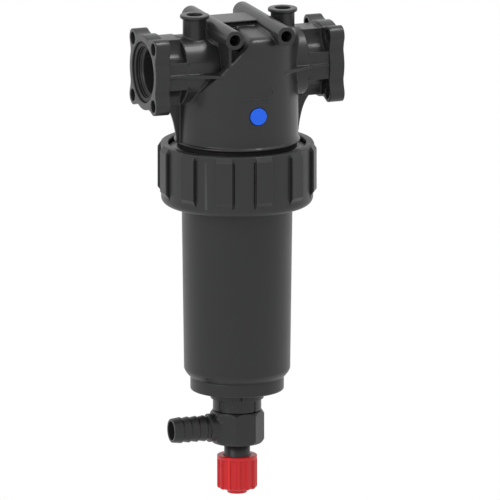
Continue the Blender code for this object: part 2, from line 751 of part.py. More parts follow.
def make_bowl(parts, helpers):
    """The tapered bowl with its flange, seal groove, stepped foot and drain hole."""
    spigot = SKIRT_BORE - FIT_GAP
    groove, groove_top, groove_bottom = seal_groove()
    top = FLANGE_TOP + BOWL_SPIGOT_HEIGHT
    flange = SKIRT_RADIUS - FIT_GAP
    shoulder = curve_points(
        (BOWL_FOOT_END_RADIUS, BOWL_TAPER_END),
        (BOWL_FOOT_END_RADIUS - FOOT_ROUNDING, FOOT_TOP + FOOT_ROUNDING),
        (FOOT_RADIUS, FOOT_TOP),
        3,
    )
    drain = DRAIN_THREAD + FIT_GAP
    profile = [
        (spigot, top),
        (spigot, groove_top),
        (groove, groove_top),
        (groove, groove_bottom),
        (spigot, groove_bottom),
        (spigot, FLANGE_TOP),
        (flange, FLANGE_TOP),
        (flange, FLANGE_UNDERSIDE),
        (BOWL_RADIUS, FLANGE_UNDERSIDE),
        *shoulder,
        (FOOT_RADIUS, BOWL_BOTTOM + FOOT_ROUNDING),
        (FOOT_RADIUS - FOOT_ROUNDING, BOWL_BOTTOM),
        (drain, BOWL_BOTTOM),
        (drain, BOWL_FLOOR_TOP),
        (FOOT_RADIUS - BOWL_WALL, BOWL_FLOOR_TOP),
        (FOOT_RADIUS - BOWL_WALL, FOOT_TOP),
        (BOWL_FOOT_END_RADIUS - BOWL_WALL, BOWL_TAPER_END),
        (BOWL_RADIUS - BOWL_WALL, FLANGE_UNDERSIDE),
        (groove - BOWL_WALL / 2, groove_bottom),
        (groove - BOWL_WALL / 2, top),
    ]
    bowl = turned("bowl", profile, parts, ROUND_STEPS, ring=True)
    dress(bowl, BLACK, 0.45)


def ring_of_cord(name, inner, cord, height, parts, steps=RUBBER_STEPS):
    """A rubber ring of round cord, from its inner radius."""
    centre = (inner + cord / 2, height)
    profile = arc(centre, cord / 2, 90.0, -198.0, 4)
    seal = turned(name, profile, parts, steps, ring=True)
    dress(seal, SEAL_BLACK, 0.6)
    return seal


def flat_ring(name, inner, outer, top, bottom, parts, steps=RUBBER_STEPS):
    """A flat rubber ring."""
    profile = [(outer, top), (outer, bottom), (inner, bottom), (inner, top)]
    seal = turned(name, profile, parts, steps, ring=True)
    dress(seal, SEAL_BLACK, 0.6)
    return seal


def make_bowl_seal(parts):
    """The O-ring in the bowl's groove."""
    groove, groove_top, groove_bottom = seal_groove()
    cord = SKIRT_BORE - groove - 2 * FIT_GAP
    ring_of_cord("bowl_seal", groove + FIT_GAP, cord, (groove_top + groove_bottom) / 2, parts, ROUND_STEPS)


def make_cartridge(parts, helpers):
    """The cage with its caps and windows, the mesh sleeve and the two gaskets."""
    gasket_top = SPIGOT_END - FIT_GAP
    ledge_top = gasket_top - GASKET_THICKNESS - FIT_GAP
    cage_top = SPIGOT_END + CAP_LIP_HEIGHT
    wall_top = ledge_top - CAP_HEIGHT / 2
    foot = BOWL_FLOOR_TOP + GASKET_THICKNESS + 2 * FIT_GAP
    wall_bottom = foot + CAP_HEIGHT
    inner = CAGE_RADIUS - CAGE_WALL
    socket = DUCT_RADIUS + SOCKET_GAP
    profile = [
        (CAGE_RADIUS, cage_top),
        (CAGE_RADIUS, wall_bottom),
        (CARTRIDGE_FOOT_RADIUS, foot),
        (CARTRIDGE_FOOT_BORE, foot),
        (CARTRIDGE_FOOT_BORE, wall_bottom),
        (inner, wall_bottom),
        (inner, wall_top),
        (PORT_BORE, wall_top),
        (PORT_BORE, ledge_top),
        (socket, ledge_top),
        (socket, cage_top),
    ]
    cage = turned("cartridge_cage", profile, parts, 3 * CAGE_COLUMNS, ring=True)
    length = wall_top - wall_bottom
    pitch = length / CAGE_ROWS
    windows = []
    for row in range(CAGE_ROWS):
        low = wall_bottom + row * pitch + CAGE_HOOP / 2
        high = low + pitch - CAGE_HOOP
        for column in range(CAGE_COLUMNS // 2):
            angle = 2 * math.pi * column / CAGE_COLUMNS
            width = 2 * math.pi * CAGE_RADIUS / CAGE_COLUMNS - CAGE_STRUT
            tool = block(
                f"window_{row}_{column}",
                (-CAGE_RADIUS * 2, -width / 2, low),
                (CAGE_RADIUS * 2, width / 2, high),
                helpers,
            )
            tool.rotation_euler = (0.0, 0.0, angle)
            windows.append(tool)
    combine(cage, windows, "DIFFERENCE", helpers)
    dress(cage, BLUE, 0.45)
    sleeve_outer = inner - FIT_GAP
    profile = [
        (sleeve_outer, wall_top - FIT_GAP),
        (sleeve_outer, wall_bottom + FIT_GAP),
        (sleeve_outer - MESH_THICKNESS, wall_bottom + FIT_GAP),
        (sleeve_outer - MESH_THICKNESS, wall_top - FIT_GAP),
    ]
    mesh_sleeve = turned("cartridge_mesh", profile, parts, 3 * CAGE_COLUMNS, ring=True)
    dress(mesh_sleeve, STEEL, 0.35, 1.0)
    flat_ring("cartridge_top_gasket", PORT_BORE, DUCT_RADIUS, gasket_top, gasket_top - GASKET_THICKNESS, parts)
    gasket_low = BOWL_FLOOR_TOP + FIT_GAP
    flat_ring("cartridge_bottom_gasket", CARTRIDGE_FOOT_BORE, CARTRIDGE_FOOT_BORE + GASKET_WIDTH,
              gasket_low + GASKET_THICKNESS, gasket_low, parts)


def make_locknut(parts, helpers):
    """The collar under the bowl, with four tabs and four grooves, and the seal inside its top."""
    bore = DRAIN_THREAD + THREAD_GAP
    seal_outer = bore + DRAIN_SEAL_WIDTH
    collar_bottom = COLLAR_TOP - COLLAR_HEIGHT
    seal_floor = LOCKNUT_TOP - DRAIN_SEAL_HEIGHT
    ring_under = LOCKNUT_TOP - TAB_RING_HEIGHT
    profile = [
        (TAB_RADIUS, LOCKNUT_TOP),
        (TAB_RADIUS, ring_under),
        (COLLAR_RADIUS, ring_under),
        (COLLAR_RADIUS, collar_bottom),
        (bore, collar_bottom),
        (bore, seal_floor),
        (seal_outer + FIT_GAP, seal_floor),
        (seal_outer + FIT_GAP, LOCKNUT_TOP),
    ]
    nut = turned("drain_locknut", profile, parts, PORT_STEPS, ring=True)
    tab_profile = [
        (COLLAR_RADIUS - OVERLAP, ring_under + OVERLAP),
        (TAB_RADIUS, ring_under + OVERLAP),
        (TAB_RADIUS, COLLAR_TOP),
        (COLLAR_RADIUS - OVERLAP, COLLAR_TOP),
    ]
    tabs = []
    grooves = []
    for index in range(TAB_COUNT):
        turn = 2 * math.pi * index / TAB_COUNT
        angle = FRONT + math.pi / TAB_COUNT + turn
        tabs.append(sector(f"tab_{index}", tab_profile, angle, TAB_ANGLE, 3, helpers))
        groove = block(
            f"collar_groove_{index}",
            (COLLAR_RADIUS - COLLAR_GROOVE_DEPTH, -COLLAR_GROOVE / 2, collar_bottom - OVERLAP),
            (COLLAR_RADIUS + OVERLAP, COLLAR_GROOVE / 2, COLLAR_TOP - FIT_GAP),
            helpers,
        )
        groove.rotation_euler = (0.0, 0.0, FRONT - COLLAR_GROOVE_ANGLE + turn)
        grooves.append(groove)
    combine(nut, tabs, "UNION", helpers)
    combine(nut, grooves, "DIFFERENCE", helpers)
    dress(nut, BLACK, 0.45)
    flat_ring("drain_seal", bore + FIT_GAP, seal_outer, LOCKNUT_TOP, seal_floor + FIT_GAP, parts)


def barb_profile(root):
    """Saw-tooth outside of the hose tail, from its tip to its root collar, lengths from the axis."""
    tip = -BARB_TIP
    first = tip - BARB_TIP_LENGTH
    profile = [(0.0, tip), (BARB_TIP_RADIUS, tip), (BARB_CREST, first)]
    crest = first
    for _ in range(BARB_CRESTS - 1):
        profile.append((BARB_VALLEY, crest - FIT_GAP))
        crest -= BARB_PITCH
        profile.append((BARB_CREST, crest))
    collar = crest - BARB_PITCH / 2
    profile += [
        (BARB_VALLEY, crest - FIT_GAP),
        (BARB_VALLEY, collar),
        (BARB_COLLAR, collar),
        (BARB_COLLAR, collar - BARB_COLLAR_LENGTH),
        (BARB_COLLAR, root),
        (0.0, root),
    ]
    return profile


def make_valve_body(parts, helpers):
    """The octagonal body with its threaded inlet, its seat and the hose barb."""
    corner = BODY_FLATS / 2 / math.cos(math.pi / 8)
    body = cylinder("drain_valve_body", corner, (0, 0, VALVE_BOTTOM), (0, 0, VALVE_TOP), parts, 8)
    turn_mesh(body, math.pi / 8)
    slope = (corner - VALVE_CORNER_RADIUS) / VALVE_CORNER_HEIGHT
    narrow = VALVE_CORNER_RADIUS - slope * OVERLAP
    wide = corner + slope * OVERLAP
    envelope = [
        (0.0, VALVE_TOP + OVERLAP),
        (narrow, VALVE_TOP + OVERLAP),
        (wide, VALVE_TOP - VALVE_CORNER_HEIGHT - OVERLAP),
        (wide, VALVE_BOTTOM + VALVE_CORNER_HEIGHT + OVERLAP),
        (narrow, VALVE_BOTTOM - OVERLAP),
        (0.0, VALVE_BOTTOM - OVERLAP),
    ]
    combine(body, [turned("corner_envelope", envelope, helpers, OCTAGON_STEPS)], "INTERSECT", helpers)
    thread_top = BOWL_FLOOR_TOP - FIT_GAP
    spigot = cylinder("drain_thread", DRAIN_THREAD, (0, 0, VALVE_TOP - OVERLAP), (0, 0, thread_top), helpers,
                      SMALL_STEPS)
    barb = turned("hose_barb", barb_profile(BODY_FLATS / 4), helpers, SMALL_STEPS)
    barb.rotation_euler = (0.0, -math.pi / 2, 0.0)
    barb.location = (0.0, 0.0, BARB_Z)
    combine(body, [spigot, barb], "UNION", helpers)
    profile = [
        (0.0, thread_top + OVERLAP),
        (DRAIN_BORE, thread_top + OVERLAP),
        (DRAIN_BORE, SEAT_Z + 3 * OVERLAP),
        (SEAT_BORE, SEAT_Z + OVERLAP),
        (SEAT_BORE, SEAT_Z),
        (CHAMBER_RADIUS, SEAT_Z),
        (CHAMBER_RADIUS, VALVE_BOTTOM - OVERLAP),
        (0.0, VALVE_BOTTOM - OVERLAP),
    ]
    bore = turned("valve_bore", profile, helpers, SMALL_STEPS)
    start = (BARB_TIP - OVERLAP, 0, BARB_Z)
    outlet = cylinder("barb_bore", BARB_BORE, start, (0, 0, BARB_Z), helpers, SMALL_STEPS - 2)
    combine(body, [bore, outlet], "DIFFERENCE", helpers)
    dress(body, BLACK, 0.45)


def turn_mesh(obj, angle):
    """Turns an object's mesh about Z."""
    obj.data.transform(Matrix.Rotation(angle, 4, "Z"))


def make_bonnet(parts):
    """The neck that carries the plunger, screwed into the bottom of the valve body."""
    bore = STEM_RADIUS + FIT_GAP
    seal_pocket = bore + STEM_SEAL_CORD + FIT_GAP
    pocket_depth = STEM_SEAL_CORD + 2 * FIT_GAP
    profile = [
        (CHAMBER_RADIUS - FIT_GAP, NECK_TOP),
        (CHAMBER_RADIUS - FIT_GAP, VALVE_BOTTOM - FIT_GAP),
        (NECK_RADIUS, VALVE_BOTTOM - 2 * FIT_GAP),
        (NECK_RADIUS, NECK_BOTTOM),
        (bore, NECK_BOTTOM),
        (bore, NECK_TOP - pocket_depth),
        (seal_pocket, NECK_TOP - pocket_depth),
        (seal_pocket, NECK_TOP),
    ]
    neck = turned("valve_bonnet", profile, parts, SMALL_STEPS, ring=True)
    dress(neck, BLACK, 0.45)
    height = NECK_TOP - pocket_depth + STEM_SEAL_CORD / 2 + FIT_GAP
    ring_of_cord("bonnet_seal", bore, STEM_SEAL_CORD, height, parts)


def make_plunger(parts, helpers):
    """The plunger with its washer, and the screw in the end of its stem."""
    washer_top = SEAT_Z - FIT_GAP
    washer_bottom = washer_top - WASHER_THICKNESS
    head_top = washer_bottom - FIT_GAP
    head_bottom = head_top - PLUNGER_HEAD
    flat_ring("plunger_seat_washer", STEM_RADIUS + FIT_GAP, PLUNGER_RADIUS, washer_top, washer_bottom, parts)
    neck = KNOB_INNER_FLOOR + FIT_GAP
    profile = [
        (0.0, washer_top + WASHER_THICKNESS),
        (STEM_RADIUS, washer_top + WASHER_THICKNESS),
        (STEM_RADIUS, head_top),
        (PLUNGER_RADIUS, head_top),
        (PLUNGER_RADIUS, head_bottom),
        (STEM_RADIUS, head_bottom),
        (STEM_RADIUS, neck),
        (STEM_RADIUS - OVERLAP / 2, neck),
        (STEM_RADIUS - OVERLAP / 2, STEM_END),
        (0.0, STEM_END),
    ]
    plunger = turned("valve_plunger", profile, parts, SMALL_STEPS)
    thread_hole = cylinder("stem_thread", SCREW_SHANK + FIT_GAP, (0, 0, STEM_END - OVERLAP),
                           (0, 0, STEM_END + SCREW_LENGTH), helpers, 12)
    combine(plunger, [thread_hole], "DIFFERENCE", helpers)
    dress(plunger, BRASS, 0.35, 1.0)
    profile = [
        (0.0, STEM_END + SCREW_LENGTH - 2 * OVERLAP),
        (SCREW_SHANK, STEM_END + SCREW_LENGTH - 2 * OVERLAP),
        (SCREW_SHANK, SCREW_SEAT),
        (SCREW_HEAD, SCREW_SEAT),
        (SCREW_HEAD, SCREW_SEAT - SCREW_HEAD_HEIGHT),
        (0.0, SCREW_SEAT - SCREW_HEAD_HEIGHT),
    ]
    screw = turned("knob_screw", profile, parts, RUBBER_STEPS)
    slot_floor = SCREW_SEAT - SCREW_HEAD_HEIGHT / 2
    slots = []
    for index in range(2):
        low = (-SCREW_HEAD * 0.6, -SCREW_SLOT / 2, SCREW_SEAT - SCREW_HEAD_HEIGHT - OVERLAP)
        high = (SCREW_HEAD * 0.6, SCREW_SLOT / 2, slot_floor)
        slot = block(f"screw_slot_{index}", low, high, helpers)
        slot.rotation_euler = (0.0, 0.0, index * math.pi / 2)
        slots.append(slot)
    combine(screw, slots, "DIFFERENCE", helpers)
    dress(screw, STEEL, 0.3, 1.0)


def make_knob(parts, helpers):
    """The fluted knob, hollow round the bonnet."""
    cavity = NECK_RADIUS + THREAD_GAP
    bore = STEM_RADIUS - OVERLAP / 2 + FIT_GAP
    screw_pocket = SCREW_HEAD + FIT_GAP
    lower_edge = arc((KNOB_RADIUS - KNOB_ROUNDING, KNOB_BOTTOM + KNOB_ROUNDING), KNOB_ROUNDING, 0.0, -90.0, 2)
    profile = [
        (KNOB_RADIUS - FIT_GAP, KNOB_TOP),
        (KNOB_RADIUS, KNOB_TOP - FIT_GAP),
        *lower_edge,
        (KNOB_BOSS, KNOB_BOTTOM),
        (KNOB_BOSS, KNOB_END),
        (screw_pocket, KNOB_END),
        (screw_pocket, SCREW_SEAT + FIT_GAP),
        (bore, SCREW_SEAT + FIT_GAP),
        (bore, KNOB_INNER_FLOOR),
        (cavity, KNOB_INNER_FLOOR),
        (cavity, KNOB_TOP - KNOB_MOUTH_DEPTH),
        (KNOB_MOUTH, KNOB_TOP),
    ]
    knob = turned("drain_knob", profile, parts, PORT_STEPS, ring=True)
    flute_profile = [
        (KNOB_RADIUS - KNOB_FLUTE_DEPTH, KNOB_TOP - KNOB_RIM),
        (KNOB_RADIUS + OVERLAP, KNOB_TOP - KNOB_RIM + OVERLAP / 2),
        (KNOB_RADIUS + OVERLAP, KNOB_BOTTOM - OVERLAP),
        (KNOB_RADIUS - KNOB_FLUTE_DEPTH, KNOB_BOTTOM - OVERLAP),
    ]
    sweep = 2 * math.pi / KNOB_RIBS - KNOB_RIB_ANGLE
    flutes = []
    for index in range(KNOB_RIBS):
        angle = FRONT + KNOB_RIB_PHASE + 2 * math.pi * (index + 0.5) / KNOB_RIBS
        flutes.append(sector(f"flute_{index}", flute_profile, angle, sweep, 1, helpers))
    combine(knob, flutes, "DIFFERENCE", helpers)
    dress(knob, RED, 0.4)


def build():
    """Clears the scene and models every piece."""
    for obj in list(bpy.data.objects):
        bpy.data.objects.remove(obj)
    parts = new_collection("pressure_filter")
    helpers = new_collection("cutters")
    make_head(parts, helpers)
    make_disc(parts)
    make_flange_seal(-1, parts)
    make_flange_seal(1, parts)
    make_ring_nut(parts, helpers)
    make_bowl(parts, helpers)
    make_bowl_seal(parts)
    make_cartridge(parts, helpers)
    make_locknut(parts, helpers)
    make_valve_body(parts, helpers)
    make_bonnet(parts)
    make_plunger(parts, helpers)
    make_knob(parts, helpers)


build()
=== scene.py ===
"""Looks of the flanged pressure filter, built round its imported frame.

Metres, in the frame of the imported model: +Z up, the pipe's axis along X, the front at -Y, and the
origin where the pipe's axis crosses the bowl's. Each sub-assembly is a class that builds its
meshes, dresses them and lets them ride on the body that carries them.
"""

import logging
import math
from dataclasses import dataclass, field
from enum import Enum
from typing import Optional, Sequence

import bmesh
import bpy
from mathutils import Matrix, Vector


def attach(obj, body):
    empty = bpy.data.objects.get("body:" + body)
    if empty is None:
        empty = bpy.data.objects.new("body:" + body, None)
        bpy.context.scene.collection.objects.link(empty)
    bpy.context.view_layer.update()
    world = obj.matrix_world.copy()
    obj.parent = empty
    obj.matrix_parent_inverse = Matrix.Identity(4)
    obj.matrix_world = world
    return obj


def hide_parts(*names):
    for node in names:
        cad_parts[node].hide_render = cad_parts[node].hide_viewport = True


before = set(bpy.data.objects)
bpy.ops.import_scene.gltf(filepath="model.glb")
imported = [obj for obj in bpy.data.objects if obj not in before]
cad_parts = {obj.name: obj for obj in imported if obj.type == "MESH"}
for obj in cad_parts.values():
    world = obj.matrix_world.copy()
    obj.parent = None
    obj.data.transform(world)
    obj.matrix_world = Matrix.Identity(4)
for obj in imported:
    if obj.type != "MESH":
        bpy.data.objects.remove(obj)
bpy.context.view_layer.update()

LOG = logging.getLogger("pressure_filter")

Flat = tuple[float, float]
Corner = tuple[float, float, float]
Mesh = bpy.types.Object
# Facets round a turned shape, and the radius under which a point lies on its axis.
ROUND = 144
TINY = 1e-6
# How far shapes that are joined or cut reach past each other, and the gap between pieces that fit.
LAP = 0.0010
FIT = 0.0003
WHITE = (1.0, 1.0, 1.0, 1.0)


class Body(Enum):
    """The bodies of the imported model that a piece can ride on."""

    HEAD = "head"
    BOWL = "bowl_unit"
    RING = "ring"
    PLUNGER = "plunger"
    KNOB = "knob"


class Side(Enum):
    """The two ends of the pipe, with the sign of their X."""

    INLET = -1
    OUTLET = 1


def fillet_path(corners: Sequence[Corner], closed: bool, turn_step: float = 12.0) -> list[Flat]:
    """Round the corners of an outline.

    Args:
        corners: Points as (across, along, rounding radius).
        closed: Whether the last point joins the first.
        turn_step: Largest turn between two points of an arc, in degrees.

    Returns:
        The outline's points, with an arc at each corner that has a radius.
    """
    count = len(corners)
    path: list[Flat] = []
    for index, (x, y, radius) in enumerate(corners):
        here = Vector((x, y))
        inner = closed or 0 < index < count - 1
        if not inner or radius <= 0.0:
            path.append((x, y))
            continue
        before = Vector(corners[index - 1][:2]) - here
        after = Vector(corners[(index + 1) % count][:2]) - here
        reach = min(before.length, after.length)
        before.normalize()
        after.normalize()
        opening = before.angle(after)
        if opening > math.pi - 0.01 or opening < 0.01:
            path.append((x, y))
            continue
        tangent = min(radius / math.tan(opening / 2), 0.49 * reach)
        radius = tangent * math.tan(opening / 2)
        centre = here + (before + after).normalized() * (radius / math.sin(opening / 2))
        start = here + before * tangent - centre
        end = here + after * tangent - centre
        sweep = start.angle_signed(end)
        steps = max(2, math.ceil(math.degrees(abs(sweep)) / turn_step))
        for step in range(steps + 1):
            angle = -sweep * step / steps
            spot = Matrix.Rotation(angle, 2) @ start + centre
            path.append((spot.x, spot.y))
    return path


def arc(centre: Flat, radius: float, start: float, end: float, steps: int) -> list[Flat]:
    """Points on an arc in a plane.

    Args:
        centre: The arc's centre.
        radius: Its radius.
        start: Angle of the first point, in degrees.
        end: Angle of the last point, in degrees.
        steps: Number of stretches.

    Returns:
        The points, first to last.
    """
    angles = [math.radians(start + (end - start) * index / steps) for index in range(steps + 1)]
    return [(centre[0] + radius * math.cos(a), centre[1] + radius * math.sin(a)) for a in angles]


def bow(start: Flat, pull: Flat, end: Flat, steps: int) -> list[Flat]:
    """Points on a quadratic curve.

    Args:
        start: The first point.
        pull: The point that the curve is drawn towards.
        end: The last point.
        steps: Number of stretches.

    Returns:
        The points, first to last.
    """
    curve = []
    for index in range(steps + 1):
        t = index / steps
        weights = ((1 - t) ** 2, 2 * t * (1 - t), t * t)
        x = sum(w * p[0] for w, p in zip(weights, (start, pull, end)))
        y = sum(w * p[1] for w, p in zip(weights, (start, pull, end)))
        curve.append((x, y))
    return curve


def four_ways(quarter: Sequence[Flat]) -> list[Flat]:
    """Turns the first quarter of an outline into the whole.

    Args:
        quarter: Points from the first axis to just before the second.

    Returns:
        The closed outline's points.
    """
    outline = list(quarter)
    for _ in range(3):
        outline += [(-y, x) for x, y in outline[-len(quarter):]]
    return outline


def across_pipe(side: Side) -> Matrix:
    """Turns a flat outline into the plane across the pipe, with its height outwards."""
    s = side.value
    return Matrix(((0, 0, s, 0), (s, 0, 0, 0), (0, 1, 0, 0), (0, 0, 0, 1)))


def along_pipe(side: Side) -> Matrix:
    """Turns a turned shape's axis from Z to the pipe, outwards on one side."""
    return Matrix.Rotation(side.value * math.pi / 2, 4, "Y")


def add_object(name: str, data: Optional[bpy.types.ID]) -> bpy.types.Object:
    """Makes an object of its data and links it to the scene.

    Args:
        name: The object's name.
        data: Its mesh, lamp or camera data.

    Returns:
        The object.
    """
    obj = bpy.data.objects.new(name, data)
    bpy.context.scene.collection.objects.link(obj)
    return obj


def new_piece(name: str, bm: bmesh.types.BMesh, smooth: bool = True) -> Mesh:
    """Makes an object of a bmesh, with its faces outwards.

    Args:
        name: The piece's name.
        bm: The bmesh, which is freed.
        smooth: Whether its faces are shaded smooth.

    Returns:
        The object, linked to the scene.
    """
    bmesh.ops.recalc_face_normals(bm, faces=bm.faces)
    mesh = bpy.data.meshes.new(name)
    bm.to_mesh(mesh)
    bm.free()
    if smooth:
        mesh.shade_smooth()
    return add_object(name, mesh)


def lathe(
    name: str,
    path: Sequence[Flat],
    ring: bool = True,
    steps: int = ROUND,
    matrix: Optional[Matrix] = None,
) -> Mesh:
    """Turns an outline about Z into a closed shape.

    Args:
        name: The piece's name.
        path: Points as (radius, height).
        ring: Whether the last point joins the first; if not, both lie on the axis.
        steps: Facets round the turn.
        matrix: Where the turned shape goes.

    Returns:
        The closed turned object.
    """
    bm = bmesh.new()
    rows = []
    for radius, height in path:
        if radius < TINY:
            rows.append([bm.verts.new((0.0, 0.0, height))])
        else:
            turns = [2 * math.pi * (k + 0.5) / steps for k in range(steps)]
            spots = [(radius * math.cos(a), radius * math.sin(a), height) for a in turns]
            rows.append([bm.verts.new(spot) for spot in spots])
    pairs = list(zip(rows, rows[1:]))
    if ring:
        pairs.append((rows[-1], rows[0]))
    for upper, lower in pairs:
        for k in range(steps):
            nxt = (k + 1) % steps
            loop = [upper[k % len(upper)], upper[nxt % len(upper)],
                    lower[nxt % len(lower)], lower[k % len(lower)]]
            corners = list(dict.fromkeys(loop))
            if len(corners) > 2:
                bm.faces.new(corners)
    if matrix is not None:
        bmesh.ops.transform(bm, matrix=matrix, verts=bm.verts)
    return new_piece(name, bm)


def rod(name: str, radius: float, start: Sequence[float], end: Sequence[float], steps: int = 64,
        edge: float = 0.0) -> Mesh:
    """A round rod between two points, with its end edges rounded.

    Args:
        name: The piece's name.
        radius: The rod's radius.
        start: Centre of the first end.
        end: Centre of the last end.
        steps: Facets round it.
        edge: Rounding radius of the end edges.

    Returns:
        The rod.
    """
    run = Vector(end) - Vector(start)
    matrix = Matrix.Translation(Vector(start)) @ run.to_track_quat("Z", "Y").to_matrix().to_4x4()
    corners = [(0.0, 0.0, 0.0), (radius, 0.0, edge), (radius, run.length, edge), (0.0, run.length, 0.0)]
    return lathe(name, fillet_path(corners, False, 30.0), False, steps, matrix)


def slab(name: str, outline: Sequence[Flat], low: float, high: float,
         matrix: Optional[Matrix] = None) -> Mesh:
    """A flat outline given thickness along local Z.

    Args:
        name: The piece's name.
        outline: The outline's points in order.
        low: Height of one face.
        high: Height of the other face.
        matrix: Where the slab goes.

    Returns:
        The slab.
    """
    bm = bmesh.new()
    lower = [bm.verts.new((x, y, low)) for x, y in outline]
    upper = [bm.verts.new((x, y, high)) for x, y in outline]
    count = len(outline)
    bm.faces.new(lower)
    bm.faces.new(list(reversed(upper)))
    for k in range(count):
        nxt = (k + 1) % count
        bm.faces.new([lower[k], upper[k], upper[nxt], lower[nxt]])
    bmesh.ops.triangulate(bm, faces=[f for f in bm.faces if len(f.verts) > 4])
    if matrix is not None:
        bmesh.ops.transform(bm, matrix=matrix, verts=bm.verts)
    return new_piece(name, bm, False)


def brick(name: str, low: Sequence[float], high: Sequence[float], matrix: Optional[Matrix] = None) -> Mesh:
    """A box between two corners.

    Args:
        name: The piece's name.
        low: Its lowest corner.
        high: Its highest corner.
        matrix: Where the box goes.

    Returns:
        The box.
    """
    outline = [(low[0], low[1]), (high[0], low[1]), (high[0], high[1]), (low[0], high[1])]
    return slab(name, outline, low[2], high[2], matrix)


def settle(obj: Mesh) -> Mesh:
    """Replaces an object's mesh with its evaluated one and removes its modifiers.

    Args:
        obj: The object with its modifiers.

    Returns:
        The same object.
    """
    bpy.context.view_layer.update()
    depsgraph = bpy.context.evaluated_depsgraph_get()
    mesh = bpy.data.meshes.new_from_object(obj.evaluated_get(depsgraph), depsgraph=depsgraph)
    obj.modifiers.clear()
    old = obj.data
    obj.data = mesh
    mesh.name = obj.name
    if isinstance(old, bpy.types.Mesh) and old.users == 0:
        bpy.data.meshes.remove(old)
    return obj


def combine(target: Mesh, tools: Sequence[Mesh], operation: str) -> Mesh:
    """Joins, cuts or intersects a solid with others, which are used up.

    Args:
        target: The solid that is kept.
        tools: The solids that join or cut it.
        operation: UNION, DIFFERENCE or INTERSECT.

    Returns:
        The target with its new mesh.
    """
    for tool in tools:
        modifier = target.modifiers.new(tool.name, "BOOLEAN")
        modifier.operation = operation
        modifier.solver = "MANIFOLD"
        modifier.object = tool
    settle(target)
    for tool in tools:
        bpy.data.objects.remove(tool)
    return target


@dataclass(frozen=True)
class Moulding:
    """How a joined solid gets the soft edges of a moulded piece.

    Args:
        grain: Size of the remesh, in metres.
        softness: Passes of smoothing.
        triangles: Most triangles that the piece keeps.
    """

    grain: float = 0.0005
    softness: int = 3
    triangles: int = 180_000

    def soften(self, obj: Mesh) -> Mesh:
        """Rounds every edge of a solid and keeps it under its triangle limit.

        Args:
            obj: The joined solid.

        Returns:
            The same object.
        """
        remesh = obj.modifiers.new("remesh", "REMESH")
        remesh.mode = "VOXEL"
        remesh.voxel_size = self.grain
        remesh.use_smooth_shade = True
        smooth = obj.modifiers.new("smooth", "SMOOTH")
        smooth.factor = 0.5
        smooth.iterations = self.softness
        settle(obj)
        count = sum(len(face.vertices) - 2 for face in obj.data.polygons)
        if count > self.triangles:
            thin = obj.modifiers.new("thin", "DECIMATE")
            thin.ratio = self.triangles / count
            settle(obj)
        obj.data.shade_smooth()
        return obj


class Net:
    """Adds nodes to a tree and links them.

    Args:
        tree: The shader or geometry tree that is filled.
    """

    def __init__(self, tree: bpy.types.NodeTree) -> None:
        """Keeps the tree."""
        self.tree = tree

    def add(self, kind: str, settings: Optional[dict] = None,
            sockets: Optional[dict] = None) -> bpy.types.Node:
        """Adds one node.

        Args:
            kind: The node's type.
            settings: Values of the node's own options.
            sockets: Values or sockets for its inputs, by name or index.

        Returns:
            The node.
        """
        node = self.tree.nodes.new(kind)
        for key, value in (settings or {}).items():
            setattr(node, key, value)
        for key, value in (sockets or {}).items():
            if isinstance(value, bpy.types.NodeSocket):
                self.tree.links.new(value, node.inputs[key])
            else:
                node.inputs[key].default_value = value
        return node

    def calc(self, operation: str, first: object, second: object = 0.0) -> bpy.types.NodeSocket:
        """A Math node's result for two numbers or sockets."""
        return self.add("ShaderNodeMath", {"operation": operation}, {0: first, 1: second}).outputs[0]

    def band(self, value: bpy.types.NodeSocket, low: float, high: float) -> bpy.types.NodeSocket:
        """Maps a value that runs from 0 to 1 to the range between two numbers."""
        return self.add("ShaderNodeMapRange", None, {0: value, 3: low, 4: high}).outputs[0]

    def ramp(self, value: bpy.types.NodeSocket, start: object, end: object, low: object,
             high: object, curve: str = "SMOOTHSTEP") -> bpy.types.NodeSocket:
        """Maps the range from start to end to the range from low to high.

        Args:
            value: What is mapped.
            start: Where the first range begins.
            end: Where it ends.
            low: Where the second range begins.
            high: Where it ends.
            curve: The way between them, as the node names it.

        Returns:
            The mapped value.
        """
        sockets = {0: value, 1: start, 2: end, 3: low, 4: high}
        return self.add("ShaderNodeMapRange", {"interpolation_type": curve}, sockets).outputs[0]

    def mesh_of(self, socket: bpy.types.NodeSocket) -> bpy.types.NodeSocket:
        """The mesh of an object that the tree is given, as it lies in its own space."""
        node = self.add("GeometryNodeObjectInfo", {"transform_space": "ORIGINAL"}, {"Object": socket})
        return node.outputs["Geometry"]

    def noise(self, place: bpy.types.NodeSocket, per_metre: float,
              detail: float = 2.0) -> bpy.types.NodeSocket:
        """A noise value on Object coordinates."""
        sockets = {"Vector": place, "Scale": per_metre, "Detail": detail, "Roughness": 0.55}
        return self.add("ShaderNodeTexNoise", None, sockets).outputs[0]


# The mottle of a finish: its broad patches, its specks, and the roughness that the specks add or take.
PATCHES_PER_METRE = 38.0
SPECKS_PER_METRE = 900.0
SPECK_SPREAD = 0.03
# Pointiness at which the painted edge highlight begins and at which it is full, and how uneven it is.
HIGHLIGHT_POINTINESS = (0.545, 0.62)
HIGHLIGHT_SPREAD = (0.4, 1.4)
# How strongly the grain shows.
GRAIN_STRENGTH = 0.6


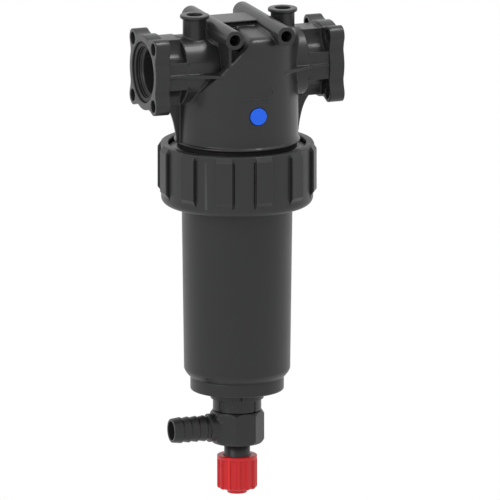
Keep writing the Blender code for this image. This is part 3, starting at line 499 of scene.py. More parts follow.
@dataclass(frozen=True)
class Finish:
    """A finish with a mottled colour, a fine grain and a painted highlight along its sharp edges.

    Args:
        name: The material's name.
        colour: Linear base colour.
        roughness: Middle roughness.
        metallic: 0 for plastic and rubber, 1 for metal.
        mottle: Share by which the colour varies over the surface.
        rough_spread: By how much the roughness varies.
        grain_per_metre: Grains in a metre.
        grain_height: Height of the grain, in metres.
        lay: Stretch of the grain along X, Y and Z, as tool marks have.
        edge_highlight: How much lighter the sharp edges are painted, a painted highlight for the light that
            their rounding catches.
        reflect: The shader's specular level, 0.5 for a plain plastic.
    """

    name: str
    colour: tuple[float, float, float]
    roughness: float
    metallic: float = 0.0
    mottle: float = 0.10
    rough_spread: float = 0.06
    grain_per_metre: float = 2600.0
    grain_height: float = 0.00002
    lay: tuple[float, float, float] = (1.0, 1.0, 1.0)
    edge_highlight: float = 0.0
    reflect: float = 0.5

    def build(self) -> bpy.types.Material:
        """Builds the material once, and gives the same one back after that.

        Returns:
            The material.
        """
        known = bpy.data.materials.get(self.name)
        if known is not None:
            return known
        material = bpy.data.materials.new(self.name)
        material.use_nodes = True
        material.diffuse_color = (*self.colour, 1.0)
        net = Net(material.node_tree)
        shader = material.node_tree.nodes["Principled BSDF"]
        shader.inputs["Metallic"].default_value = self.metallic
        shader.inputs["Specular IOR Level"].default_value = self.reflect
        place = net.add("ShaderNodeTexCoord").outputs["Object"]
        stretched = net.add("ShaderNodeMapping", None, {"Vector": place, "Scale": self.lay}).outputs[0]
        patches = net.noise(place, PATCHES_PER_METRE, 4.0)
        specks = net.noise(place, SPECKS_PER_METRE, 3.0)
        grain = net.noise(stretched, self.grain_per_metre, 2.0)
        tone = net.calc("MULTIPLY", net.band(patches, 1.0 - self.mottle, 1.0 + self.mottle),
                        net.band(specks, 1.0 - self.mottle / 2, 1.0 + self.mottle / 2))
        # Painted highlight: sharp convex edges, found by pointiness, get a lighter base colour in place of
        # the light that their rounding catches.
        if self.edge_highlight > 0.0:
            sharp = net.add("ShaderNodeNewGeometry").outputs["Pointiness"]
            edge = net.ramp(sharp, *HIGHLIGHT_POINTINESS, 0.0, self.edge_highlight, "LINEAR")
            tone = net.calc("ADD", tone, net.calc("MULTIPLY", edge, net.band(specks, *HIGHLIGHT_SPREAD)))
        colour = net.add("ShaderNodeVectorMath", {"operation": "SCALE"},
                         {0: self.colour, "Scale": tone}).outputs[0]
        net.tree.links.new(colour, shader.inputs["Base Color"])
        shine = net.calc("ADD", net.band(patches, -self.rough_spread, self.rough_spread),
                         net.band(specks, self.roughness - SPECK_SPREAD, self.roughness + SPECK_SPREAD))
        net.tree.links.new(shine, shader.inputs["Roughness"])
        bump = net.add("ShaderNodeBump", None, {"Strength": GRAIN_STRENGTH, "Distance": self.grain_height,
                                                "Height": grain}).outputs[0]
        net.tree.links.new(bump, shader.inputs["Normal"])
        return material

    def dress(self, obj: Mesh) -> Mesh:
        """Makes this the only material of a piece.

        Args:
            obj: The piece.

        Returns:
            The same piece.
        """
        obj.data.materials.clear()
        obj.data.materials.append(self.build())
        return obj


# Where a finish sets an edge amount, its sharp edges get a painted highlight.
HEAD_PLASTIC = Finish("satin_black_moulding", (0.022, 0.0223, 0.0232), 0.31, edge_highlight=1.8, reflect=0.38)
BOWL_PLASTIC = Finish("satin_black_bowl", (0.020, 0.0203, 0.0210), 0.40, mottle=0.08, reflect=0.36)
NUT_PLASTIC = Finish("matte_black_grip", (0.024, 0.0244, 0.0252), 0.42, edge_highlight=1.8, reflect=0.38)
VALVE_PLASTIC = Finish("satin_black_valve", (0.022, 0.0223, 0.0230), 0.36, edge_highlight=1.4, reflect=0.36)
SEAL_RUBBER = Finish("black_rubber", (0.014, 0.014, 0.0145), 0.58, mottle=0.18, grain_per_metre=1800.0)
KNOB_PLASTIC = Finish("red_moulding", (0.650, 0.016, 0.020), 0.36, mottle=0.05, edge_highlight=0.5, reflect=0.35)
DISC_PLASTIC = Finish("blue_moulding", (0.015, 0.150, 0.980), 0.40, mottle=0.03, reflect=0.30)
CAGE_PLASTIC = Finish("blue_cage_moulding", (0.020, 0.090, 0.560), 0.42, mottle=0.06)
TURNED_BRASS = Finish("turned_brass", (0.640, 0.450, 0.190), 0.30, 1.0, lay=(0.15, 0.15, 1.0))
PLATED_STEEL = Finish("plated_steel", (0.560, 0.570, 0.580), 0.28, 1.0, lay=(0.3, 0.3, 1.0))


class Recipe:
    """A Geometry Nodes tree with named inputs, which ends in real geometry with its material.

    Args:
        name: The tree's name.
        inputs: Name and type of each input after the geometry: Float, Int, Object or Material.
    """

    def __init__(self, name: str, inputs: dict[str, str]) -> None:
        """Makes the tree with its sockets and its Group Input."""
        self.tree = bpy.data.node_groups.new(name, "GeometryNodeTree")
        self.sockets: dict[str, str] = {}
        self.tree.interface.new_socket("Geometry", in_out="INPUT", socket_type="NodeSocketGeometry")
        for title, kind in {**inputs, "Finish": "Material"}.items():
            socket = self.tree.interface.new_socket(title, in_out="INPUT", socket_type="NodeSocket" + kind)
            self.sockets[title] = socket.identifier
        self.tree.interface.new_socket("Geometry", in_out="OUTPUT", socket_type="NodeSocketGeometry")
        self.net = Net(self.tree)
        self.given = self.net.add("NodeGroupInput").outputs

    def end(self, geometry: bpy.types.NodeSocket) -> "Recipe":
        """Ends the tree with Realize Instances and Set Material.

        Args:
            geometry: What the tree has made.

        Returns:
            The recipe.
        """
        real = self.net.add("GeometryNodeRealizeInstances", None, {0: geometry}).outputs[0]
        shaded = self.net.add("GeometryNodeSetShadeSmooth", None, {0: real}).outputs[0]
        sockets = {"Geometry": shaded, "Material": self.given["Finish"]}
        done = self.net.add("GeometryNodeSetMaterial", None, sockets).outputs[0]
        self.net.add("NodeGroupOutput", None, {0: done})
        return self

    def make(self, name: str, finish: Finish, values: dict[str, object]) -> Mesh:
        """Runs the tree and keeps its result as a plain mesh.

        Args:
            name: The new piece's name.
            finish: The finish that the tree sets.
            values: The inputs, by name.

        Returns:
            The piece.
        """
        obj = add_object(name, bpy.data.meshes.new(name))
        modifier = obj.modifiers.new(self.tree.name, "NODES")
        modifier.node_group = self.tree
        for title, value in {**values, "Finish": finish.build()}.items():
            modifier[self.sockets[title]] = value
        settle(obj)
        for tool in [value for value in values.values() if isinstance(value, bpy.types.Object)]:
            bpy.data.objects.remove(tool)
        return obj


def copies_round_axis() -> Recipe:
    """Copies of one piece, evenly turned about Z.

    Returns:
        The recipe.
    """
    recipe = Recipe("copies_round_axis", {"Piece": "Object", "Copies": "Int", "First Angle": "Float"})
    net, given = recipe.net, recipe.given
    points = net.add("GeometryNodeMeshLine", None, {"Count": given["Copies"], "Offset": (0.0, 0.0, 0.0)})
    piece = net.mesh_of(given["Piece"])
    step = net.calc("DIVIDE", 2 * math.pi, given["Copies"])
    index = net.add("GeometryNodeInputIndex").outputs[0]
    angle = net.calc("ADD", net.calc("MULTIPLY", index, step), given["First Angle"])
    turn = net.add("ShaderNodeCombineXYZ", None, {"Z": angle}).outputs[0]
    sockets = {"Points": points.outputs[0], "Instance": piece, "Rotation": turn}
    return recipe.end(net.add("GeometryNodeInstanceOnPoints", None, sockets).outputs[0])


def screw_thread() -> Recipe:
    """A ridge that winds up a cylinder, from the height Start.

    Returns:
        The recipe.
    """
    inputs = {"Radius": "Float", "Pitch": "Float", "Turns": "Float", "Start": "Float", "Ridge": "Object"}
    recipe = Recipe("screw_thread", inputs)
    net, given = recipe.net, recipe.given
    height = net.calc("MULTIPLY", given["Pitch"], given["Turns"])
    sockets = {"Resolution": 96, "Rotations": given["Turns"], "Start Radius": given["Radius"],
               "End Radius": given["Radius"], "Height": height}
    winding = net.add("GeometryNodeCurveSpiral", None, sockets).outputs[0]
    upright = net.add("GeometryNodeSetCurveNormal", {"mode": "Z_UP"}, {"Curve": winding}).outputs[0]
    section = net.add("GeometryNodeMeshToCurve", None, {0: net.mesh_of(given["Ridge"])}).outputs[0]
    sockets = {"Curve": upright, "Profile Curve": section, "Fill Caps": True}
    swept = net.add("GeometryNodeCurveToMesh", None, sockets).outputs[0]
    lift = net.add("ShaderNodeCombineXYZ", None, {"Z": given["Start"]}).outputs[0]
    sockets = {"Geometry": swept, "Translation": lift}
    return recipe.end(net.add("GeometryNodeTransform", None, sockets).outputs[0])


def outline_object(name: str, outline: Sequence[Flat]) -> Mesh:
    """A closed loop of edges in local XY, as the section of a swept ridge.

    Args:
        name: The object's name.
        outline: The loop's points.

    Returns:
        The loop.
    """
    mesh = bpy.data.meshes.new(name)
    count = len(outline)
    mesh.from_pydata([(x, y, 0.0) for x, y in outline], [(k, (k + 1) % count) for k in range(count)], [])
    return add_object(name, mesh)


def seat_piece(obj: Mesh, body: Body, node: str = "") -> None:
    """Lets a finished piece ride on its body and stand for its CAD node.

    Args:
        obj: The finished piece.
        body: The body that carries it.
        node: The CAD node that it replaces, if it replaces one.
    """
    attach(obj, body.value)
    if node:
        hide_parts(node)
    count = sum(len(face.vertices) - 2 for face in obj.data.polygons)
    LOG.info("%s: %d triangles on %s", obj.name, count, body.value)


@dataclass
class HeadTrim:
    """What is set into the head: the colour disc and the two flange seals."""

    disc_z: float = -0.0336
    disc_radius: float = 0.0071
    disc_face: float = -0.0513
    disc_back: float = -0.0483
    rim_width: float = 0.0011
    seal_outer: float = 0.0252
    seal_width: float = 0.0036
    seal_front: float = 0.0819
    seal_back: float = 0.0796
    seal_ridge: float = 0.0007

    def disc(self) -> None:
        """The blue disc with its rounded rim and a shallow dish."""
        depth = self.disc_back - self.disc_face
        inside = self.disc_radius - self.rim_width
        corners = [(0.0, 0.00012, 0.0), (inside - 0.0005, 0.00008, 0.0004), (inside, 0.0, 0.0003),
                   (self.disc_radius, 0.0, 0.0005), (self.disc_radius, depth, 0.0), (0.0, depth, 0.0)]
        matrix = Matrix.Translation((0, self.disc_face, self.disc_z))
        matrix = matrix @ Matrix.Rotation(-math.pi / 2, 4, "X")
        disc = lathe("colour_disc", fillet_path(corners, False), False, 96, matrix)
        seat_piece(DISC_PLASTIC.dress(disc), Body.HEAD, "mesh_colour_disc")

    def flange_seal(self, side: Side) -> None:
        """A ridged rubber ring in one flange.

        Args:
            side: The end of the pipe.
        """
        inner = self.seal_outer - self.seal_width
        middle = (self.seal_outer + inner) / 2
        ridge = self.seal_ridge
        tip = self.seal_front - ridge
        corners = [(self.seal_outer, tip, 0.0003), (self.seal_outer, self.seal_back, 0.0003),
                   (inner, self.seal_back, 0.0003), (inner, tip, 0.0003), (middle - ridge, tip, 0.0002),
                   (middle, self.seal_front - 0.0001, 0.0004), (middle + ridge, tip, 0.0002)]
        name = side.name.lower() + "_flange_seal"
        seal = lathe(name + "_ring", fillet_path(corners, True), True, 120, along_pipe(side))
        seat_piece(SEAL_RUBBER.dress(seal), Body.HEAD, name)

    def build(self) -> None:
        """Builds the disc and both seals."""
        self.disc()
        for side in Side:
            self.flange_seal(side)


@dataclass
class FilterHead:
    """The head moulding with its ports, tubes, gauge bosses, ribs and threaded skirt.

    Args:
        thread: The recipe that winds a thread.
        trim: What is set into the head, which leaves room for it.
    """

    thread: Recipe
    trim: HeadTrim
    body_radius: float = 0.0504
    wall: float = 0.0039
    rim_top: float = 0.0315
    dome: float = 0.0025
    rim_rounding: float = 0.0090
    roof: float = 0.0045
    core_split: float = -0.0560
    core_lap: float = 0.0100
    lip_radius: float = 0.0520
    lip_top: float = -0.0615
    lip_edge: float = 0.0011
    lip_recess: float = 0.0008
    lip_sink: float = 0.0030
    shoulder_angle: float = math.radians(50.0)
    shoulder_rise: float = 0.0370
    skirt_top: float = -0.0656
    skirt_band: float = 0.0020
    skirt_slope: float = 0.0006
    skirt_bottom: float = -0.1012
    skirt_crest: float = 0.0565
    skirt_root: float = 0.0549
    skirt_bore: float = 0.0500
    skirt_bore_height: float = 0.0210
    thread_pitch: float = 0.0060
    thread_turns: float = 3.6
    thread_start: float = 0.0035
    ridge_root_half: float = 0.0021
    ridge_crest_half: float = 0.0008
    ridge_sink: float = 0.0004
    port_root: float = 0.0250
    port_radius: float = 0.0290
    port_reach: float = 0.0540
    port_bore: float = 0.0183
    port_step: float = 0.0212
    port_step_depth: float = 0.0062
    bore_chamfer: float = 0.0008
    bore_chamfer_depth: float = 0.0012
    outlet_bore_end: float = 0.0309
    seat_radius: float = 0.0255
    seat_depth: float = 0.0036
    flange_face: float = 0.0829
    flange_thickness: float = 0.0127
    flange_half: float = 0.0320
    flange_bulge: float = 0.0315
    flange_notch: float = 0.0287
    notch_drop: float = 1.2
    bulge_share: float = 0.75
    lobe_start: float = -20.0
    bolt_offset: float = 0.0240
    bolt_hole: float = 0.00515
    bolt_room: float = 0.0130
    barrel_flat: float = 0.0280
    rib_thickness: float = 0.0028
    rib_body_x: float = 0.0260
    rib_port_y: float = 0.0305
    gusset_thickness: float = 0.0030
    gusset_edge: tuple[Flat, ...] = ((0.0534, -0.0610), (0.0558, -0.0360), (0.0640, -0.0290))
    gusset_root: tuple[Flat, ...] = ((0.0640, -0.0250), (0.0484, -0.0145), (0.0484, -0.0610))
    tube_x: float = 0.0226
    tube_z: float = 0.0335
    tube_radius: float = 0.0080
    tube_bore: float = 0.00465
    tube_front: float = -0.0560
    tube_back: float = 0.0500
    tube_web: float = 0.0025
    bridge_half: float = 0.0305
    bridge_top: float = 0.0380
    bridge_front: float = -0.0050
    bridge_back: float = 0.0260
    gap_floor: float = 0.0014
    gap_depth: float = 0.0045
    gap_roof: float = 0.0013
    gauge_x: float = 0.0387
    gauge_y: float = -0.0035
    gauge_radius: float = 0.0099
    gauge_top: float = 0.0461
    gauge_lip_radius: float = 0.0122
    gauge_lip_height: float = 0.0029
    gauge_hole: float = 0.00665
    gauge_floor: float = 0.0309
    gauge_pilot: float = 0.0030
    duct_radius: float = 0.0223
    pipe_extra: float = 0.0017
    spigot_bore: float = 0.0178
    spigot_end: float = -0.0780
    ledge: float = 0.0060
    pocket: float = 0.0050
    pocket_end: float = -0.0100
    saddle_front: float = -0.0196
    foot_bead: float = 0.0007
    mark_bead: float = 0.0004
    mark_step: float = 3.0
    mark_strokes: tuple[tuple[Flat, Flat], ...] = (
        ((5.0, -0.0165), (15.5, -0.0110)), ((15.5, -0.0110), (10.0, -0.0108)),
        ((15.5, -0.0110), (15.2, -0.0158)), ((-17.5, -0.0190), (9.5, -0.0190)),
        ((-17.5, -0.0190), (-17.5, -0.0228)), ((9.5, -0.0190), (9.5, -0.0228)))
    crown: Moulding = field(default_factory=lambda: Moulding(0.00060, 8, 900_000))
    crown_softness: int = 50
    crown_from: float = -0.0250
    crown_blend: float = 0.0090
    crown_rise: float = 0.0080
    moulding: Moulding = field(default_factory=lambda: Moulding(0.00044, 2, 192_000))

    @property
    def chamber_bore(self) -> float:
        """Radius of the hollow body."""
        return self.body_radius - self.wall

    def blank(self) -> Mesh:
        """The turned lower body with its lip and skirt.

        Returns:
            The solid, hollow inside and open below.
        """
        core = self.body_radius - FIT
        core_top = self.core_split + self.core_lap
        slope = self.lip_top + self.lip_radius - self.body_radius + FIT
        lip_under = self.lip_top - self.lip_edge
        neck = core - self.lip_recess
        skirt = self.skirt_top - self.lip_sink
        band = skirt - self.skirt_band
        bore_end = self.skirt_bottom + self.skirt_bore_height
        corners = [
            (0.0, core_top, 0.0),
            (core, core_top, 0.0),
            (core, slope, 0.0),
            (self.lip_radius, self.lip_top, 0.0005),
            (self.lip_radius, lip_under, 0.0003),
            (neck, lip_under - 0.0004, 0.0),
            (neck, skirt, 0.0),
            (self.skirt_crest, skirt, 0.0006),
            (self.skirt_crest, band, 0.0),
            (self.skirt_root, band - self.skirt_slope, 0.0),
            (self.skirt_root, self.skirt_bottom, 0.0006),
            (self.skirt_bore, self.skirt_bottom, 0.0008),
            (self.skirt_bore, bore_end, 0.0),
            (self.chamber_bore, bore_end + self.skirt_bore - self.chamber_bore, 0.0),
            (self.chamber_bore, self.core_split, 0.0),
            (0.0, self.core_split, 0.0),
        ]
        return lathe("filter_head_moulding", fillet_path(corners, False), False)

    def upper_body(self) -> Mesh:
        """The visible body with its sloping cut, whose edge softens towards the crown.

        Returns:
            The solid.
        """
        low = self.lip_top - LAP
        corners = [(0.0, self.rim_top + self.dome, 0.0), (self.body_radius, self.rim_top, self.rim_rounding),
                   (self.body_radius, low, 0.0), (0.0, low, 0.0)]
        body = lathe("filter_head_moulding", fillet_path(corners, False, 4.0), False, 2 * ROUND)
        combine(body, [self.above_shoulder(0.0)], "DIFFERENCE")
        self.crown.soften(body)
        group = body.vertex_groups.new(name="crown")
        for vertex in body.data.vertices:
            x, _, z = vertex.co
            along = min(1.0, max(0.0, (x - self.crown_from) / self.crown_blend))
            share = along * min(1.0, max(0.0, z / self.crown_rise))
            if share > 0.0:
                group.add([vertex.index], share * share * (3.0 - 2.0 * share), "REPLACE")
        smooth = body.modifiers.new("crown", "SMOOTH")
        smooth.factor = 0.5
        smooth.iterations = self.crown_softness
        smooth.vertex_group = group.name
        return settle(body)

    def above_shoulder(self, depth: float) -> Mesh:
        """A big block above the sloping shoulder.

        Args:
            depth: How far it is sunk into the shoulder.

        Returns:
            The block.
        """
        reach = 4 * self.body_radius
        matrix = Matrix.Translation((0, 0, self.shoulder_rise))
        matrix = matrix @ Matrix.Rotation(-self.shoulder_angle, 4, "Y")
        return brick("shoulder", (-reach, -reach, -depth), (reach, reach, reach), matrix)

    def flange_outline(self) -> list[Flat]:
        """Four bolt lobes round a bulged middle, with shallow notches between them.

        Returns:
            The outline's points.
        """
        lobe = self.flange_half - self.bolt_offset
        notch = self.bolt_offset - self.notch_drop * lobe
        swing = math.degrees(math.asin(notch / self.flange_bulge)) * self.bulge_share
        bulge = arc((0.0, 0.0), self.flange_bulge, 0.0, swing, 6)
        corner = arc((self.bolt_offset, self.bolt_offset), lobe, self.lobe_start, 90.0 - self.lobe_start, 16)
        side = bow(bulge[-1], (self.flange_notch, notch), corner[0], 8)[1:-1]
        quarter = bulge + side + corner + [(y, x) for x, y in reversed(side)]
        quarter += arc((0.0, 0.0), self.flange_bulge, 90.0 - swing, 90.0, 6)[:-1]
        return four_ways(quarter)

    def barrel_outline(self) -> list[Flat]:
        """Four flats with hollows that leave room for the bolts.

        Returns:
            The outline's points.
        """
        rise = self.barrel_flat - self.bolt_offset
        angle = math.degrees(math.asin(rise / self.bolt_room))
        middle = (self.bolt_offset, self.bolt_offset)
        return four_ways(arc(middle, self.bolt_room, 270.0 + angle, 180.0 - angle, 16))

    def port(self, side: Side) -> list[Mesh]:
        """Port cylinder, barrel and flange on one side.

        Args:
            side: The end of the pipe.

        Returns:
            The three solids.
        """
        label = side.name.lower()
        back = self.flange_face - self.flange_thickness
        ends = [(side.value * reach, 0, 0) for reach in (self.port_root, self.port_reach)]
        port = rod(label + "_port", self.port_radius, *ends, 120, 0.0008)
        turn = across_pipe(side)
        barrel = slab(label + "_barrel", self.barrel_outline(), self.port_reach - LAP, back + LAP, turn)
        flange = slab(label + "_flange", self.flange_outline(), back, self.flange_face, turn)
        return [port, barrel, flange]

    def ribs(self) -> list[Mesh]:
        """The level rib at pipe height and a gusset under each port.

        Returns:
            The three solids.
        """
        back = self.flange_face - self.flange_thickness + LAP
        body_y = math.sqrt(self.body_radius ** 2 - self.rib_body_x ** 2) + FIT
        quarter = [(back, self.barrel_flat + LAP), (self.port_reach, self.rib_port_y),
                   (self.rib_body_x, body_y)]
        outline = quarter + [(-x, y) for x, y in reversed(quarter)]
        outline += [(-x, -y) for x, y in outline]
        half = self.rib_thickness / 2
        pieces = [slab("level_rib", outline, -half, half)]
        half = self.gusset_thickness / 2
        outline = bow(*self.gusset_edge, 14) + list(self.gusset_root)
        for side in Side:
            upright = Matrix(((side.value, 0, 0, 0), (0, 0, -1, 0), (0, 1, 0, 0), (0, 0, 0, 1)))
            pieces.append(slab(side.name.lower() + "_gusset", outline, -half, half, upright))
        return pieces

    def tubes(self) -> list[Mesh]:
        """Two mounting tubes, the block that ties them, and the saddle and web under the left one.

        Returns:
            The solids.
        """
        low = self.rim_top - self.roof - LAP
        bridge = [(self.bridge_front, low, 0.0), (self.bridge_front, self.bridge_top, 0.0007),
                  (self.bridge_back, self.bridge_top, 0.0012), (self.bridge_back, low, 0.0)]
        sideways = across_pipe(Side.OUTLET)
        half = self.bridge_half
        pieces = [slab("tube_bridge", fillet_path(bridge, True), -half, half, sideways)]
        for name, x in (("left_tube", -self.tube_x), ("right_tube", self.tube_x)):
            pieces.append(rod(name, self.tube_radius, (x, self.tube_front, self.tube_z),
                              (x, self.tube_back, self.tube_z), 72, 0.0007))
        side = self.tube_radius - LAP / 5
        left, right = -self.tube_x - side, side - self.tube_x
        corners = [(left, self.saddle_front, side), (right, self.saddle_front, side / 2),
                   (right, -self.saddle_front, 0.0), (left, -self.saddle_front, 0.0)]
        pieces.append(slab("tube_saddle", fillet_path(corners, True), self.port_bore + LAP, self.tube_z))
        reach = math.sqrt(self.body_radius ** 2 - self.tube_x ** 2) - LAP / 2
        foot = self.shoulder_rise - self.tube_x * math.tan(self.shoulder_angle)
        foot -= 2 * self.tube_web + self.pocket
        half = self.tube_web / 2
        pieces.append(brick("tube_web", (-self.tube_x - half, -reach, foot),
                            (half - self.tube_x, reach, self.tube_z)))
        return pieces

    def foot_lines(self) -> list[Mesh]:
        """The fillets at the feet of the bridge and the right tube, and of the left tube's saddle.

        Returns:
            Short rods along each foot.
        """
        front = self.bridge_front - self.foot_bead
        near = self.tube_x - self.tube_radius - 0.0003
        crest = self.tube_z + 0.0001
        right = [(-0.0110, -0.0160, crest - 0.0002), (-0.0080, -0.0110, crest),
                 (-0.0030, front - 0.0011, crest), (0.0030, front - 0.0003, crest),
                 (near, front, crest), (near, -0.0290, crest - 0.0005),
                 (near, -0.0380, crest - 0.0009), (0.0146, -0.0425, 0.0313), (0.0149, -0.0450, 0.0290),
                 (0.0168, -0.0467, 0.0258), (0.0206, -0.0458, 0.0228), (0.0250, -0.0440, 0.0212)]
        face = -self.tube_x - self.tube_radius
        left = [(face, -0.0113, self.tube_z + 0.0030), (face, -0.0113, 0.0276),
                (face + 0.0012, -0.0143, 0.0254), (-0.0272, -0.0175, 0.0233), (-0.0232, -0.0194, 0.0217)]
        pieces = []
        for label, line in (("right_foot", right), ("left_foot", left)):
            for start, end in zip(line, line[1:]):
                pieces.append(rod(label, self.foot_bead, start, end, 12, self.foot_bead * 0.7))
        return pieces

    def gauge_boss(self, side: Side) -> list[Mesh]:
        """A lipped boss on top of one port.

        Args:
            side: The end of the pipe.

        Returns:
            The boss and its lip.
        """
        label = side.name.lower()
        x, y, top = side.value * self.gauge_x, self.gauge_y, self.gauge_top
        boss = rod(label + "_gauge_boss", self.gauge_radius, (x, y, self.port_bore + LAP), (x, y, top - LAP))
        under = top - self.gauge_lip_height
        lip = rod(label + "_gauge_lip", self.gauge_lip_radius, (x, y, under), (x, y, top), 96, 0.0007)
        return [boss, lip]

    def chamber(self) -> Mesh:
        """The hollow of the upper body, which leaves the elbow and a wall under the shoulder.

        Returns:
            What is cut away.
        """
        pipe = self.duct_radius + self.pipe_extra
        top = self.rim_top - self.roof
        low = self.core_split - LAP
        corners = [(self.chamber_bore - 2 * FIT, top, 0.0020), (self.chamber_bore - FIT, low, 0.0),
                   (pipe, low, 0.0), (pipe, top, 0.0020)]
        hollow = lathe("chamber", fillet_path(corners, True))
        ends = (-self.body_radius - LAP, 0, 0), (-self.duct_radius / 2, 0, 0)
        duct = rod("duct", self.duct_radius, *ends, 96)
        return combine(hollow, [self.above_shoulder(self.wall + self.pocket), duct], "DIFFERENCE")

    def shoulder_pocket(self) -> Mesh:
        """What sinks the sloping face behind the ledge that follows the body's edge.

        Returns:
            What is cut away.
        """
        radius = self.body_radius - self.ledge
        top = self.rim_top + 10 * LAP
        path = [(0.0, top), (radius, top), (radius, self.core_split), (0.0, self.core_split)]
        pocket = lathe("shoulder_pocket", path, False)
        reach = 2 * self.body_radius
        left = brick("left_part", (-reach, -reach, -reach), (self.pocket_end, reach, reach))
        return combine(pocket, [self.above_shoulder(self.pocket), left], "INTERSECT")

    def bridge_gap(self) -> Mesh:
        """The dark gap under the front edge of the bridge.

        Returns:
            What is cut away.
        """
        half = self.tube_x - self.tube_radius + LAP
        low = (-half, self.bridge_front - LAP, self.rim_top + self.gap_floor)
        high = (half, self.bridge_front + self.gap_depth, self.bridge_top - self.gap_roof)
        return brick("bridge_gap", low, high)

    def port_hollow(self, side: Side, depth_end: float) -> Mesh:
        """The bore of one port with its stepped mouth.

        Args:
            side: The end of the pipe.
            depth_end: Where the bore ends, from the middle.

        Returns:
            What is cut away.
        """
        mouth = self.flange_face + LAP
        seat = self.flange_face - self.seat_depth
        step = self.flange_face - self.port_step_depth
        path = [(0.0, mouth), (self.seat_radius + LAP, mouth), (self.seat_radius, self.flange_face - FIT),
                (self.seat_radius, seat), (self.port_step, seat), (self.port_step, step),
                (self.port_bore + self.bore_chamfer, step), (self.port_bore, step - self.bore_chamfer_depth),
                (self.port_bore, depth_end), (0.0, depth_end)]
        return lathe(side.name.lower() + "_bore", path, False, 120, along_pipe(side))

    def holes(self) -> list[Mesh]:
        """Every hollow that is cut into the moulding.

        Returns:
            What is cut away.
        """
        bore_ends = (0, 0, self.port_bore - LAP), (0, 0, self.spigot_end - LAP)
        cuts = [self.chamber(), self.port_hollow(Side.INLET, -LAP),
                self.port_hollow(Side.OUTLET, self.outlet_bore_end),
                rod("spigot_bore", self.spigot_bore, *bore_ends, 96)]
        floor = self.gauge_floor
        for side in Side:
            s = side.value
            near = s * (self.flange_face - self.flange_thickness - LAP)
            far = s * (self.flange_face + LAP)
            for y in (-self.bolt_offset, self.bolt_offset):
                for z in (-self.bolt_offset, self.bolt_offset):
                    cuts.append(rod("bolt_hole", self.bolt_hole, (near, y, z), (far, y, z), 48))
            x, z = s * self.tube_x, self.tube_z
            cuts.append(rod("tube_hole", self.tube_bore, (x, self.tube_front - LAP, z),
                            (x, self.tube_back + LAP, z), 48))
            x, y = s * self.gauge_x, self.gauge_y
            cuts.append(rod("gauge_hole", self.gauge_hole, (x, y, floor), (x, y, self.gauge_top + LAP)))
            cuts.append(rod("gauge_pilot", self.gauge_pilot, (x, y, self.port_bore / 2),
                            (x, y, floor + LAP), 32))
        trim = self.trim
        cuts.append(rod("disc_recess", trim.disc_radius + FIT, (0, trim.disc_face - 2 * LAP, trim.disc_z),
                        (0, trim.disc_back + FIT, trim.disc_z)))
        return cuts

    def skirt_thread(self) -> Mesh:
        """The ridge that the ring nut runs on.

        Returns:
            The ridge.
        """
        crest = self.skirt_crest - self.skirt_root
        root, tip = self.ridge_root_half, self.ridge_crest_half
        section = [(-self.ridge_sink, -root), (-self.ridge_sink, root), (crest, tip), (crest, -tip)]
        values = {"Radius": self.skirt_root, "Pitch": self.thread_pitch, "Turns": self.thread_turns,
                  "Start": self.skirt_bottom + self.thread_start, "Ridge": outline_object("ridge", section)}
        return self.thread.make("skirt_thread", HEAD_PLASTIC, values)

    def flow_mark(self) -> Mesh:
        """A plain raised arrow and a bracket over the colour disc, from strokes in degrees and metres.

        Returns:
            The arrow and the bracket as one piece.
        """
        bead = self.mark_bead
        reach = self.body_radius + bead / 4
        parts = []
        for (start, low), (end, high) in self.mark_strokes:
            count = max(1, round(abs(end - start) / self.mark_step))
            spots = []
            for k in range(count + 1):
                angle = math.radians(start + (end - start) * k / count)
                height = low + (high - low) * k / count
                spots.append((reach * math.sin(angle), -reach * math.cos(angle), height))
            parts += [rod("flow_mark", bead, a, b, 12, bead / 2) for a, b in zip(spots, spots[1:])]
        return combine(parts[0], parts[1:], "UNION")

    def build(self) -> None:
        """Builds the moulding and its thread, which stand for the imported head."""
        moulding = self.upper_body()
        combine(moulding, [self.blank()], "UNION")
        combine(moulding, [self.shoulder_pocket()], "DIFFERENCE")
        ends = (0, 0, self.core_split + 4 * LAP), (0, 0, self.spigot_end)
        forms = [rod("spigot", self.duct_radius, *ends, 96, 0.0006)] + self.ribs() + self.tubes()
        for side in Side:
            forms += self.port(side) + self.gauge_boss(side)
        combine(moulding, forms, "UNION")
        combine(moulding, [self.bridge_gap()], "DIFFERENCE")
        combine(moulding, self.foot_lines(), "UNION")
        combine(moulding, self.holes(), "DIFFERENCE")
        self.moulding.soften(moulding)
        HEAD_PLASTIC.dress(moulding)
        seat_piece(moulding, Body.HEAD, "filter_head")
        seat_piece(self.skirt_thread(), Body.HEAD)
        seat_piece(HEAD_PLASTIC.dress(self.flow_mark()), Body.HEAD)


